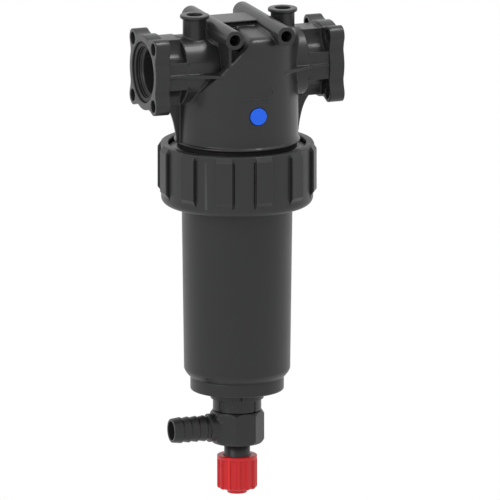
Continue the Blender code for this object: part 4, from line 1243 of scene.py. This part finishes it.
@dataclass
class RingNut:
    """The screwed ring with its twelve grip pads and its inner thread.

    Args:
        copies: The recipe that sets the pads round the ring.
        thread: The recipe that winds the thread.
    """

    copies: Recipe
    thread: Recipe
    top: float = -0.0648
    bottom: float = -0.1162
    floor: float = 0.0061
    radius: float = 0.0627
    top_radius: float = 0.0631
    bore: float = 0.0569
    thread_root: float = 0.0582
    thread_pitch: float = 0.0060
    thread_turns: float = 4.2
    thread_start: float = 0.0205
    thread_low: float = 0.0100
    thread_low_slope: float = 0.0008
    thread_high: float = 0.0028
    thread_high_slope: float = 0.0012
    ridge_root_half: float = 0.0018
    ridge_crest_half: float = 0.0007
    ridge_sink: float = 0.0004
    bowl_clear: float = 0.0462
    edge: float = 0.0058
    pad_count: int = 12
    pad_radius: float = 0.0658
    pad_half_angle: float = 6.15
    pad_top_chamfer: float = 0.0045
    pad_end: float = -0.1077
    pad_end_chamfer: float = 0.0043
    slot_width: float = 0.0013
    slot_depth: float = 0.0012
    moulding: Moulding = field(default_factory=lambda: Moulding(0.00044, 2, 150_000))

    def wall(self) -> Mesh:
        """The turned ring with its inward floor.

        Returns:
            The ring without its pads.
        """
        floor = self.bottom + self.floor
        run_in = floor + self.thread_low
        run_out = self.top - self.thread_high
        corners = [
            (self.top_radius, self.top, 0.0006),
            (self.radius, self.top - self.pad_top_chamfer, 0.0),
            (self.radius, self.bottom, self.edge),
            (self.bowl_clear, self.bottom, 0.0008),
            (self.bowl_clear, floor, 0.0006),
            (self.bore, floor, 0.0004),
            (self.bore, run_in, 0.0),
            (self.thread_root, run_in + self.thread_low_slope, 0.0),
            (self.thread_root, run_out - self.thread_high_slope, 0.0),
            (self.bore, run_out, 0.0),
            (self.bore, self.top, 0.0008),
        ]
        return lathe("ring_nut_moulding", fillet_path(corners, True), True, 180)

    def pad(self) -> Mesh:
        """One grip pad, centred on +X.

        Returns:
            The pad, which reaches into the ring's wall.
        """
        inside = self.radius - 2 * LAP
        profile = [(inside, self.top - FIT), (self.top_radius, self.top - FIT),
                   (self.pad_radius, self.top - self.pad_top_chamfer),
                   (self.pad_radius, self.pad_end + self.pad_end_chamfer),
                   (self.radius - FIT, self.pad_end), (inside, self.pad_end)]
        bm = bmesh.new()
        rows = []
        for turn in (-1, 1):
            angle = math.radians(self.pad_half_angle * turn)
            rows.append([bm.verts.new((r * math.cos(angle), r * math.sin(angle), z)) for r, z in profile])
        first, second = rows
        for k, here in enumerate(first):
            nxt = (k + 1) % len(profile)
            bm.faces.new([here, first[nxt], second[nxt], second[k]])
        bm.faces.new(first)
        bm.faces.new(list(reversed(second)))
        return new_piece("grip_pad", bm, False)

    def slots(self) -> Mesh:
        """The slots along the pads' feet in one half, on the side that faces the mould's parting line.

        Returns:
            What is cut away.
        """
        tools = []
        pitch = 2 * math.pi / self.pad_count
        for turn in (-1, 1):
            low, high = sorted((turn * self.slot_width, -turn * self.slot_width / 8))
            for k in range(self.pad_count // 4):
                middle = -turn * (k + 0.5) * pitch
                matrix = Matrix.Rotation(middle + math.radians(self.pad_half_angle * turn), 4, "Z")
                tools.append(brick("pad_slot", (self.radius - self.slot_depth, low, self.pad_end - LAP),
                                   (self.radius + LAP, high, self.top - self.pad_top_chamfer), matrix))
        return combine(tools[0], tools[1:], "UNION")

    def build(self) -> None:
        """Builds the ring, its pads and its thread."""
        values = {"Piece": self.pad(), "Copies": self.pad_count, "First Angle": -math.pi / 2}
        pads = self.copies.make("grip_pads", NUT_PLASTIC, values)
        parting = -math.pi / 2 - math.pi / self.pad_count
        values = {"Piece": self.slots(), "Copies": 2, "First Angle": parting}
        slots = self.copies.make("pad_slots", NUT_PLASTIC, values)
        ring = combine(combine(self.wall(), [pads], "UNION"), [slots], "DIFFERENCE")
        self.moulding.soften(ring)
        seat_piece(NUT_PLASTIC.dress(ring), Body.RING, "ring_nut")
        crest = self.bore - self.thread_root
        root, tip = self.ridge_root_half, self.ridge_crest_half
        section = [(self.ridge_sink, -root), (self.ridge_sink, root), (crest, tip), (crest, -tip)]
        values = {"Radius": self.thread_root, "Pitch": self.thread_pitch, "Turns": self.thread_turns,
                  "Start": self.bottom + self.thread_start, "Ridge": outline_object("ridge", section)}
        thread = self.thread.make("ring_nut_thread", NUT_PLASTIC, values)
        seat_piece(thread, Body.RING)


@dataclass
class Bowl:
    """The tapered bowl with its flange, groove, stepped foot and gate mark."""

    spigot: float = 0.0497
    groove: float = 0.0476
    groove_top: float = -0.09265
    groove_bottom: float = -0.09685
    top: float = -0.0880
    flange: float = 0.0562
    flange_top: float = -0.1015
    flange_under: float = -0.1098
    radius: float = 0.0458
    low_radius: float = 0.0438
    taper_end: float = -0.2545
    foot_top: float = -0.2630
    foot_radius: float = 0.0386
    bottom: float = -0.2732
    floor_top: float = -0.2685
    drain: float = 0.0123
    wall: float = 0.0040
    waist: float = 0.0388
    waist_z: float = -0.2620
    shoulder_pull: Flat = (0.0004, 0.0043)
    foot_slope: float = 0.0004
    foot_groove: float = 0.0106
    foot_groove_width: float = 0.0019
    foot_groove_depth: float = 0.0006
    gate_angle: float = math.radians(-142.5)
    gate_tilt: float = math.radians(122.0)
    gate_place: Flat = (0.0033, 0.0040)
    gate_shape: Corner = (0.42, 1.30, 1.0)
    gate_radius: float = 0.0030
    gate_sink: float = 0.0006

    def shell(self) -> Mesh:
        """The whole turned bowl.

        Returns:
            The closed shell.
        """
        pull = (self.low_radius - self.shoulder_pull[0], self.waist_z + self.shoulder_pull[1])
        curve = bow((self.low_radius, self.taper_end), pull, (self.waist, self.waist_z), 14)
        bore = self.groove - self.wall / 2
        step = self.foot_groove_depth
        outer = self.foot_radius - self.foot_groove
        inner = outer - self.foot_groove_width
        corners = [
            (self.spigot, self.top, 0.0006),
            (self.spigot, self.groove_top, 0.0003),
            (self.groove, self.groove_top, 0.0003),
            (self.groove, self.groove_bottom, 0.0003),
            (self.spigot, self.groove_bottom, 0.0003),
            (self.spigot, self.flange_top, 0.0008),
            (self.flange, self.flange_top, 0.0008),
            (self.flange, self.flange_under, 0.0008),
            (self.radius, self.flange_under, 0.0015),
            *((x, z, 0.0) for x, z in curve),
            (self.foot_radius - self.foot_slope, self.foot_top + 0.0006, 0.0),
            (self.foot_radius, self.foot_top - 0.0002, 0.0006),
            (self.foot_radius, self.bottom, 0.0016),
            (outer + step, self.bottom, 0.0),
            (outer, self.bottom + step, 0.0),
            (inner, self.bottom + step, 0.0),
            (inner - step, self.bottom, 0.0),
            (self.drain, self.bottom, 0.0005),
            (self.drain, self.floor_top, 0.0005),
            (self.foot_radius - self.wall, self.floor_top, 0.0015),
            (self.foot_radius - self.wall, self.foot_top, 0.0),
            (self.low_radius - self.wall, self.taper_end, 0.0030),
            (self.radius - self.wall, self.flange_under, 0.0030),
            (bore, self.groove_bottom, 0.0),
            (bore, self.top, 0.0008),
        ]
        return lathe("bowl_moulding", fillet_path(corners, True, 8.0), True, 192)

    def gate_mark(self) -> Mesh:
        """The small sunk mark that the mould's gate left on the shoulder.

        Returns:
            What is cut away.
        """
        across, up = self.gate_place
        middle = Vector((self.waist + across, 0.0, self.waist_z + up))
        tilt = Matrix.Rotation(self.gate_tilt, 4, "Y")
        matrix = Matrix.Rotation(self.gate_angle, 4, "Z") @ Matrix.Translation(middle) @ tilt
        matrix = matrix @ Matrix.Diagonal((*self.gate_shape, 1.0))
        low, high = -self.gate_sink, 4 * LAP
        path = [(0.0, low), (self.gate_radius, low), (self.gate_radius * 1.2, high), (0.0, high)]
        return lathe("gate_mark", path, False, 32, matrix)

    def build(self) -> None:
        """Builds the bowl."""
        bowl = combine(self.shell(), [self.gate_mark()], "DIFFERENCE")
        bowl.data.shade_smooth()
        seat_piece(BOWL_PLASTIC.dress(bowl), Body.BOWL, "bowl")


@dataclass
class DrainValve:
    """The locknut, the octagonal body with its hose tail, and the bonnet.

    Args:
        copies: The recipe that sets tabs and grooves round the locknut.
    """

    copies: Recipe
    nut_top: float = -0.2735
    tab_radius: float = 0.0220
    tab_ring: float = 0.0024
    tab_bottom: float = -0.2806
    tab_half_angle: float = 42.5
    first_tab: float = math.radians(-57.0)
    collar_radius: float = 0.0200
    collar_bottom: float = -0.2905
    thread_clear: float = 0.0124
    seal_outer: float = 0.0163
    seal_floor: float = -0.2757
    groove_width: float = 0.0024
    groove_depth: float = 0.0010
    groove_angle: float = math.radians(65.0)
    top: float = -0.2908
    bottom: float = -0.3180
    flats: float = 0.0415
    corner_radius: float = 0.0204
    corner_height: float = 0.0027
    thread_radius: float = 0.0120
    thread_top: float = -0.2688
    bore: float = 0.0080
    bore_chamfer: float = 0.0008
    seat_bore: float = 0.0060
    seat_z: float = -0.2962
    chamber: float = 0.0105
    barb_z: float = -0.3045
    barb_tip: float = 0.0580
    barb_bore: float = 0.0078
    crest: float = 0.0109
    tip_radius: float = 0.0099
    valley: float = 0.0097
    barb_pitch: float = 0.0069
    tooth_back: float = 0.0004
    crests: int = 4
    tip_length: float = 0.0079
    root_collar: float = 0.0118
    neck_radius: float = 0.0107
    neck_bottom: float = -0.3440
    neck_top: float = -0.3100
    stem_clear: float = 0.0043
    pocket_width: float = 0.0025
    pocket_depth: float = 0.0028
    nut_moulding: Moulding = field(default_factory=lambda: Moulding(0.00030, 2, 80_000))
    body_moulding: Moulding = field(default_factory=lambda: Moulding(0.00032, 2, 120_000))

    def tab(self) -> Mesh:
        """One tab of the locknut, centred on +X.

        Returns:
            The tab, which reaches into the collar.
        """
        half = self.tab_half_angle
        outline = arc((0, 0), self.tab_radius, -half, half, 20)
        outline += arc((0, 0), self.collar_radius - LAP, half, -half, 1)
        return slab("locknut_tab", outline, self.tab_bottom, self.nut_top - self.tab_ring + LAP)

    def locknut(self) -> None:
        """The collar under the bowl with its four tabs and grooves."""
        under = self.nut_top - self.tab_ring
        corners = [
            (self.tab_radius, self.nut_top, 0.0004), (self.tab_radius, under, 0.0003),
            (self.collar_radius, under, 0.0), (self.collar_radius, self.collar_bottom, 0.0005),
            (self.thread_clear, self.collar_bottom, 0.0003), (self.thread_clear, self.seal_floor, 0.0),
            (self.seal_outer + FIT, self.seal_floor, 0.0), (self.seal_outer + FIT, self.nut_top, 0.0),
        ]
        nut = lathe("locknut_moulding", fillet_path(corners, True), True, 120)
        values = {"Piece": self.tab(), "Copies": 4, "First Angle": self.first_tab}
        tabs = self.copies.make("locknut_tabs", VALVE_PLASTIC, values)
        combine(nut, [tabs], "UNION")
        half = self.groove_width / 2
        groove = brick("collar_groove",
                       (self.collar_radius - self.groove_depth, -half, self.collar_bottom - LAP),
                       (self.collar_radius + LAP, half, self.tab_bottom - FIT))
        values = {"Piece": groove, "Copies": 4, "First Angle": -math.pi / 2 - self.groove_angle}
        grooves = self.copies.make("collar_grooves", VALVE_PLASTIC, values)
        combine(nut, [grooves], "DIFFERENCE")
        self.nut_moulding.soften(nut)
        seat_piece(VALVE_PLASTIC.dress(nut), Body.BOWL, "drain_locknut")

    def octagon(self) -> Mesh:
        """The eight-sided block with turned chamfers at both ends.

        Returns:
            The block.
        """
        corner = self.flats / 2 / math.cos(math.pi / 8)
        outline = arc((0, 0), corner, 22.5, 337.5, 7)
        block = slab("valve_body_moulding", outline, self.bottom, self.top)
        slope = (corner - self.corner_radius) / self.corner_height
        narrow = self.corner_radius - slope * LAP
        wide = corner + slope * LAP
        high, low = self.top + LAP, self.bottom - LAP
        edge = self.corner_height + 2 * LAP
        path = [(0.0, high), (narrow, high), (wide, high - edge),
                (wide, low + edge), (narrow, low), (0.0, low)]
        return combine(block, [lathe("corner_envelope", path, False)], "INTERSECT")

    def barb(self) -> Mesh:
        """The saw-toothed hose tail with its root collar, towards -X.

        Returns:
            The solid hose tail.
        """
        first = self.barb_tip - self.tip_length
        corners = [(0.0, self.barb_tip, 0.0), (self.tip_radius, self.barb_tip, 0.0005),
                   (self.crest, first, 0.0003)]
        crest = first
        for _ in range(self.crests - 1):
            corners.append((self.valley, crest - self.tooth_back, 0.0))
            crest -= self.barb_pitch
            corners.append((self.crest, crest, 0.0003))
        collar = crest - self.barb_pitch / 2
        corners += [(self.valley, crest - self.tooth_back, 0.0), (self.valley, collar, 0.0004),
                    (self.root_collar, collar, 0.0005), (self.root_collar, self.flats / 4, 0.0),
                    (0.0, self.flats / 4, 0.0)]
        matrix = Matrix.Translation((0, 0, self.barb_z)) @ Matrix.Rotation(-math.pi / 2, 4, "Y")
        return lathe("hose_tail", fillet_path(corners, False), False, 96, matrix)

    def hollows(self) -> list[Mesh]:
        """The upright bore with its seat, and the hose tail's bore.

        Returns:
            What is cut away.
        """
        mouth, seat, low = self.thread_top + LAP, self.seat_z, self.bottom - LAP
        path = [(0.0, mouth), (self.bore + LAP / 2, mouth), (self.bore, self.thread_top - self.bore_chamfer),
                (self.bore, seat + 3 * LAP), (self.seat_bore, seat + LAP), (self.seat_bore, seat),
                (self.chamber, seat), (self.chamber, low), (0.0, low)]
        upright = lathe("valve_bore", path, False, 96)
        outlet = rod("hose_bore", self.barb_bore, (-self.barb_tip - LAP, 0, self.barb_z), (0, 0, self.barb_z))
        return [upright, outlet]

    def body(self) -> None:
        """The octagonal body."""
        body = self.octagon()
        ends = (0, 0, self.top - LAP), (0, 0, self.thread_top)
        spigot = rod("drain_thread", self.thread_radius, *ends, 96, 0.0006)
        combine(body, [spigot, self.barb()], "UNION")
        combine(body, self.hollows(), "DIFFERENCE")
        self.body_moulding.soften(body)
        seat_piece(VALVE_PLASTIC.dress(body), Body.BOWL, "drain_valve_body")

    def bonnet(self) -> None:
        """The round neck that carries the plunger."""
        pocket = self.stem_clear + self.pocket_width
        floor = self.neck_top - self.pocket_depth
        corners = [
            (self.chamber - FIT, self.neck_top, 0.0005), (self.chamber - FIT, self.bottom - FIT, 0.0),
            (self.neck_radius, self.bottom - 2 * FIT, 0.0), (self.neck_radius, self.neck_bottom, 0.0006),
            (self.stem_clear, self.neck_bottom, 0.0003), (self.stem_clear, floor, 0.0),
            (pocket, floor, 0.0), (pocket, self.neck_top, 0.0003),
        ]
        neck = lathe("bonnet_neck", fillet_path(corners, True), True, 96)
        seat_piece(VALVE_PLASTIC.dress(neck), Body.BOWL, "valve_bonnet")

    def build(self) -> None:
        """Builds the three pieces."""
        self.locknut()
        self.body()
        self.bonnet()


def finer(path: Sequence[Flat], stretch: float) -> list[Flat]:
    """Splits the long stretches of an outline, so that a rule can shape it in between.

    Args:
        path: The outline's points.
        stretch: Longest stretch that is left.

    Returns:
        The outline with more points.
    """
    fine: list[Flat] = []
    for (x0, y0), (x1, y1) in zip(path, list(path[1:]) + [path[0]]):
        parts = max(1, math.ceil(math.hypot(x1 - x0, y1 - y0) / stretch))
        fine += [(x0 + (x1 - x0) * k / parts, y0 + (y1 - y0) * k / parts) for k in range(parts)]
    return fine


def flutes() -> Recipe:
    """Presses even flutes into a turned wall, with a plain rim left above them.

    Returns:
        The recipe.
    """
    inputs = {"Blank": "Object", "Ribs": "Int", "First Angle": "Float", "Rib Half Angle": "Float",
              "Softness": "Float", "Depth": "Float", "Wall Radius": "Float", "Rim Height": "Float"}
    recipe = Recipe("flutes", inputs)
    net, given = recipe.net, recipe.given
    place = net.add("GeometryNodeInputPosition").outputs[0]
    x, y, z = net.add("ShaderNodeSeparateXYZ", None, {0: place}).outputs
    pitch = net.calc("DIVIDE", 2 * math.pi, given["Ribs"])
    turn = net.calc("SUBTRACT", net.calc("ARCTAN2", y, x), given["First Angle"])
    from_rib = net.calc("MULTIPLY", net.calc("PINGPONG", net.calc("DIVIDE", turn, pitch), 0.5), pitch)
    low = net.calc("SUBTRACT", given["Rib Half Angle"], given["Softness"])
    high = net.calc("ADD", given["Rib Half Angle"], given["Softness"])
    in_flute = net.ramp(from_rib, low, high, 0.0, 1.0)
    flat = net.add("ShaderNodeCombineXYZ", None, {"X": x, "Y": y}).outputs[0]
    radius = net.add("ShaderNodeVectorMath", {"operation": "LENGTH"}, {0: flat}).outputs["Value"]
    inner = net.calc("SUBTRACT", given["Wall Radius"], net.calc("MULTIPLY", given["Depth"], 3.0))
    on_wall = net.ramp(radius, inner, given["Wall Radius"], 0.0, 1.0)
    below = net.calc("SUBTRACT", given["Rim Height"], given["Depth"])
    under_rim = net.ramp(z, below, given["Rim Height"], 1.0, 0.0)
    press = net.calc("MULTIPLY", net.calc("MULTIPLY", in_flute, on_wall),
                     net.calc("MULTIPLY", under_rim, given["Depth"]))
    inward = net.add("ShaderNodeVectorMath", {"operation": "NORMALIZE"}, {0: flat}).outputs[0]
    shift = net.add("ShaderNodeVectorMath", {"operation": "SCALE"},
                    {0: inward, "Scale": net.calc("MULTIPLY", press, -1.0)}).outputs[0]
    sockets = {0: net.mesh_of(given["Blank"]), "Offset": shift}
    return recipe.end(net.add("GeometryNodeSetPosition", None, sockets).outputs[0])


@dataclass
class DrainKnob:
    """The red fluted knob.

    Args:
        fluting: The recipe that presses the flutes.
    """

    fluting: Recipe
    radius: float = 0.0165
    top: float = -0.3287
    bottom: float = -0.3568
    end: float = -0.3605
    rim: float = 0.0025
    rounding: float = 0.0022
    mouth: float = 0.0115
    mouth_depth: float = 0.0020
    cavity: float = 0.0108
    floor: float = -0.3506
    stem_bore: float = 0.0038
    boss: float = 0.0082
    screw_pocket: float = 0.0048
    screw_seat: float = -0.3571
    ribs: int = 12
    rib_half_angle: float = math.radians(4.6)
    first_rib: float = math.radians(-76.0)
    rib_softness: float = math.radians(0.9)
    flute_depth: float = 0.0017
    flute_inset: float = 0.0004
    stretch: float = 0.0007

    def blank(self) -> Mesh:
        """The turned knob before its flutes.

        Returns:
            The closed shell, with points close enough for the flutes.
        """
        corners = [
            (self.radius, self.top, 0.0007), (self.radius, self.bottom, self.rounding),
            (self.boss, self.bottom, 0.0006), (self.boss, self.end, 0.0006),
            (self.screw_pocket, self.end, 0.0004), (self.screw_pocket, self.screw_seat, 0.0),
            (self.stem_bore, self.screw_seat, 0.0), (self.stem_bore, self.floor, 0.0),
            (self.cavity, self.floor, 0.0008), (self.cavity, self.top - self.mouth_depth, 0.0004),
            (self.mouth, self.top, 0.0005),
        ]
        return lathe("knob_blank", finer(fillet_path(corners, True), self.stretch), True, 360)

    def build(self) -> None:
        """Builds the knob and presses its flutes."""
        values = {"Blank": self.blank(), "Ribs": self.ribs, "First Angle": self.first_rib,
                  "Rib Half Angle": self.rib_half_angle, "Softness": self.rib_softness,
                  "Depth": self.flute_depth, "Wall Radius": self.radius - self.flute_inset,
                  "Rim Height": self.top - self.rim}
        knob = self.fluting.make("knob_moulding", KNOB_PLASTIC, values)
        seat_piece(knob, Body.KNOB, "drain_knob")


class InnerParts:
    """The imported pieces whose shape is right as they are, with their real finishes."""

    finishes: dict[str, Finish] = {
        "bowl_seal": SEAL_RUBBER,
        "cartridge_cage": CAGE_PLASTIC,
        "cartridge_mesh": PLATED_STEEL,
        "cartridge_top_gasket": SEAL_RUBBER,
        "cartridge_bottom_gasket": SEAL_RUBBER,
        "drain_seal": SEAL_RUBBER,
        "bonnet_seal": SEAL_RUBBER,
        "valve_plunger": TURNED_BRASS,
        "plunger_seat_washer": SEAL_RUBBER,
        "knob_screw": PLATED_STEEL,
    }

    def build(self) -> None:
        """Dresses each piece through its object's material slots."""
        for name, finish in self.finishes.items():
            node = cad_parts[name]
            for holder in node.material_slots:
                holder.material = finish.build()
            LOG.info("%s: dressed as %s", name, finish.name)


@dataclass
class Studio:
    """The pale floor, the white surroundings, the soft lamps and the camera.

    Args:
        azimuth: Turn of the camera from the front towards the inlet, in degrees.
        elevation: Height of the camera above the level, in degrees.
        frame_width: What the photograph's frame spans at the object, in metres.
        centre_right: How far right of the origin the frame's centre is, in metres.
        centre_down: How far below the origin it is.
        distance: From the camera to the object.
        clipping: Nearest and farthest that the camera sees.
        floor_z: Height of the floor.
        floor_radius: Reach of the floor.
        floor_tone: Grey of the floor where the object shades it.
        fade_from: Where the floor begins to turn white, from the middle.
        fade_to: Where it is white.
        fade_share: How white it is under the object.
        ambient: Strength of the surroundings' light on the object.
        aim: What the lamps face.
        lamps: Name, place, side in metres and power in watts of each soft box.
    """

    azimuth: float = 20.5
    elevation: float = 12.5
    frame_width: float = 0.412
    centre_right: float = 0.01063
    centre_down: float = 0.1527
    distance: float = 5.0
    clipping: Flat = (0.1, 50.0)
    floor_z: float = -0.45
    floor_radius: float = 6.0
    floor_tone: float = 0.86
    fade_from: float = 0.10
    fade_to: float = 0.36
    fade_share: float = 0.93
    ambient: float = 0.62
    aim: Corner = (0.0, 0.0, -0.12)
    lamps: tuple[tuple[str, Corner, float, float], ...] = (
        ("key_box", (0.46, -0.24, 1.34), 0.40, 8.0),
        ("left_box", (-1.5, -0.7, 0.7), 0.9, 8.0))

    def camera(self) -> None:
        """The camera at the photograph's angle."""
        a, e = math.radians(self.azimuth), math.radians(self.elevation)
        towards = Vector((-math.sin(a) * math.cos(e), -math.cos(a) * math.cos(e), math.sin(e)))
        right = Vector((math.cos(a), -math.sin(a), 0.0))
        up = right.cross(-towards)
        data = bpy.data.cameras.new("product_camera")
        data.type = "ORTHO"
        data.ortho_scale = self.frame_width
        data.clip_start, data.clip_end = self.clipping
        obj = add_object("product_camera", data)
        aim = right * self.centre_right - up * self.centre_down
        turn = Matrix((right, up, towards)).transposed().to_4x4()
        obj.matrix_world = Matrix.Translation(aim + towards * self.distance) @ turn
        bpy.context.scene.camera = obj

    def seen_directly(self, net: Net) -> bpy.types.NodeSocket:
        """1 for camera, mirror and glass rays, 0 for the light on the object.

        Args:
            net: The tree that asks.

        Returns:
            The share.
        """
        path = net.add("ShaderNodeLightPath").outputs
        mirror = net.calc("MAXIMUM", path["Is Glossy Ray"], path["Is Transmission Ray"])
        return net.calc("MAXIMUM", path["Is Camera Ray"], mirror)

    def surroundings(self) -> None:
        """A world that looks white and lights the object softly."""
        world = bpy.data.worlds.new("white_studio")
        world.use_nodes = True
        bpy.context.scene.world = world
        net = Net(world.node_tree)
        world.node_tree.nodes.clear()
        strength = net.band(self.seen_directly(net), self.ambient, 1.0)
        back = net.add("ShaderNodeBackground", None, {"Color": WHITE, "Strength": strength}).outputs[0]
        net.add("ShaderNodeOutputWorld", None, {"Surface": back})

    def floor(self) -> None:
        """A wide pale floor that fades to white away from the object's shadow."""
        bm = bmesh.new()
        bmesh.ops.create_circle(bm, cap_ends=True, segments=96, radius=self.floor_radius)
        bmesh.ops.translate(bm, verts=bm.verts, vec=(0.0, 0.0, self.floor_z))
        obj = new_piece("pale_floor", bm, False)
        material = bpy.data.materials.new("pale_floor")
        material.use_nodes = True
        net = Net(material.node_tree)
        material.node_tree.nodes.clear()
        place = net.add("ShaderNodeTexCoord").outputs["Object"]
        level = {0: place, 1: (1.0, 1.0, 0.0)}
        flat = net.add("ShaderNodeVectorMath", {"operation": "MULTIPLY"}, level).outputs[0]
        away = net.add("ShaderNodeVectorMath", {"operation": "LENGTH"}, {0: flat}).outputs["Value"]
        fade = net.ramp(away, self.fade_from, self.fade_to, self.fade_share, 1.0)
        share = net.calc("MULTIPLY", self.seen_directly(net), fade)
        grey = (self.floor_tone, self.floor_tone, self.floor_tone, 1.0)
        matt = net.add("ShaderNodeBsdfDiffuse", None, {"Color": grey}).outputs[0]
        white = net.add("ShaderNodeEmission", None, {"Color": WHITE, "Strength": 1.0}).outputs[0]
        mixed = net.add("ShaderNodeMixShader", None, {0: share, 1: matt, 2: white}).outputs[0]
        net.add("ShaderNodeOutputMaterial", None, {"Surface": mixed})
        obj.data.materials.append(material)

    def lamp(self, name: str, place: Sequence[float], size: float, power: float) -> None:
        """One square soft box that faces the middle of the object.

        Args:
            name: The lamp's name.
            place: Where it hangs.
            size: Its side, in metres.
            power: Its power, in watts.
        """
        data = bpy.data.lights.new(name, "AREA")
        data.shape = "SQUARE"
        data.size = size
        data.energy = power
        obj = add_object(name, data)
        spot = Vector(place)
        obj.location = spot
        obj.rotation_euler = (spot - Vector(self.aim)).to_track_quat("Z", "Y").to_euler()

    def build(self) -> None:
        """Sets up everything that isn't the object."""
        bpy.context.scene.view_settings.view_transform = "Standard"
        self.camera()
        self.surroundings()
        self.floor()
        for settings in self.lamps:
            self.lamp(*settings)


def main() -> None:
    """Builds the studio and every sub-assembly in order."""
    logging.basicConfig(level=logging.INFO, format="%(message)s")
    Studio().build()
    copies = copies_round_axis()
    thread = screw_thread()
    trim = HeadTrim()
    FilterHead(thread, trim).build()
    trim.build()
    RingNut(copies, thread).build()
    Bowl().build()
    DrainValve(copies).build()
    DrainKnob(flutes()).build()
    InnerParts().build()


if __name__ == "__main__":
    main()
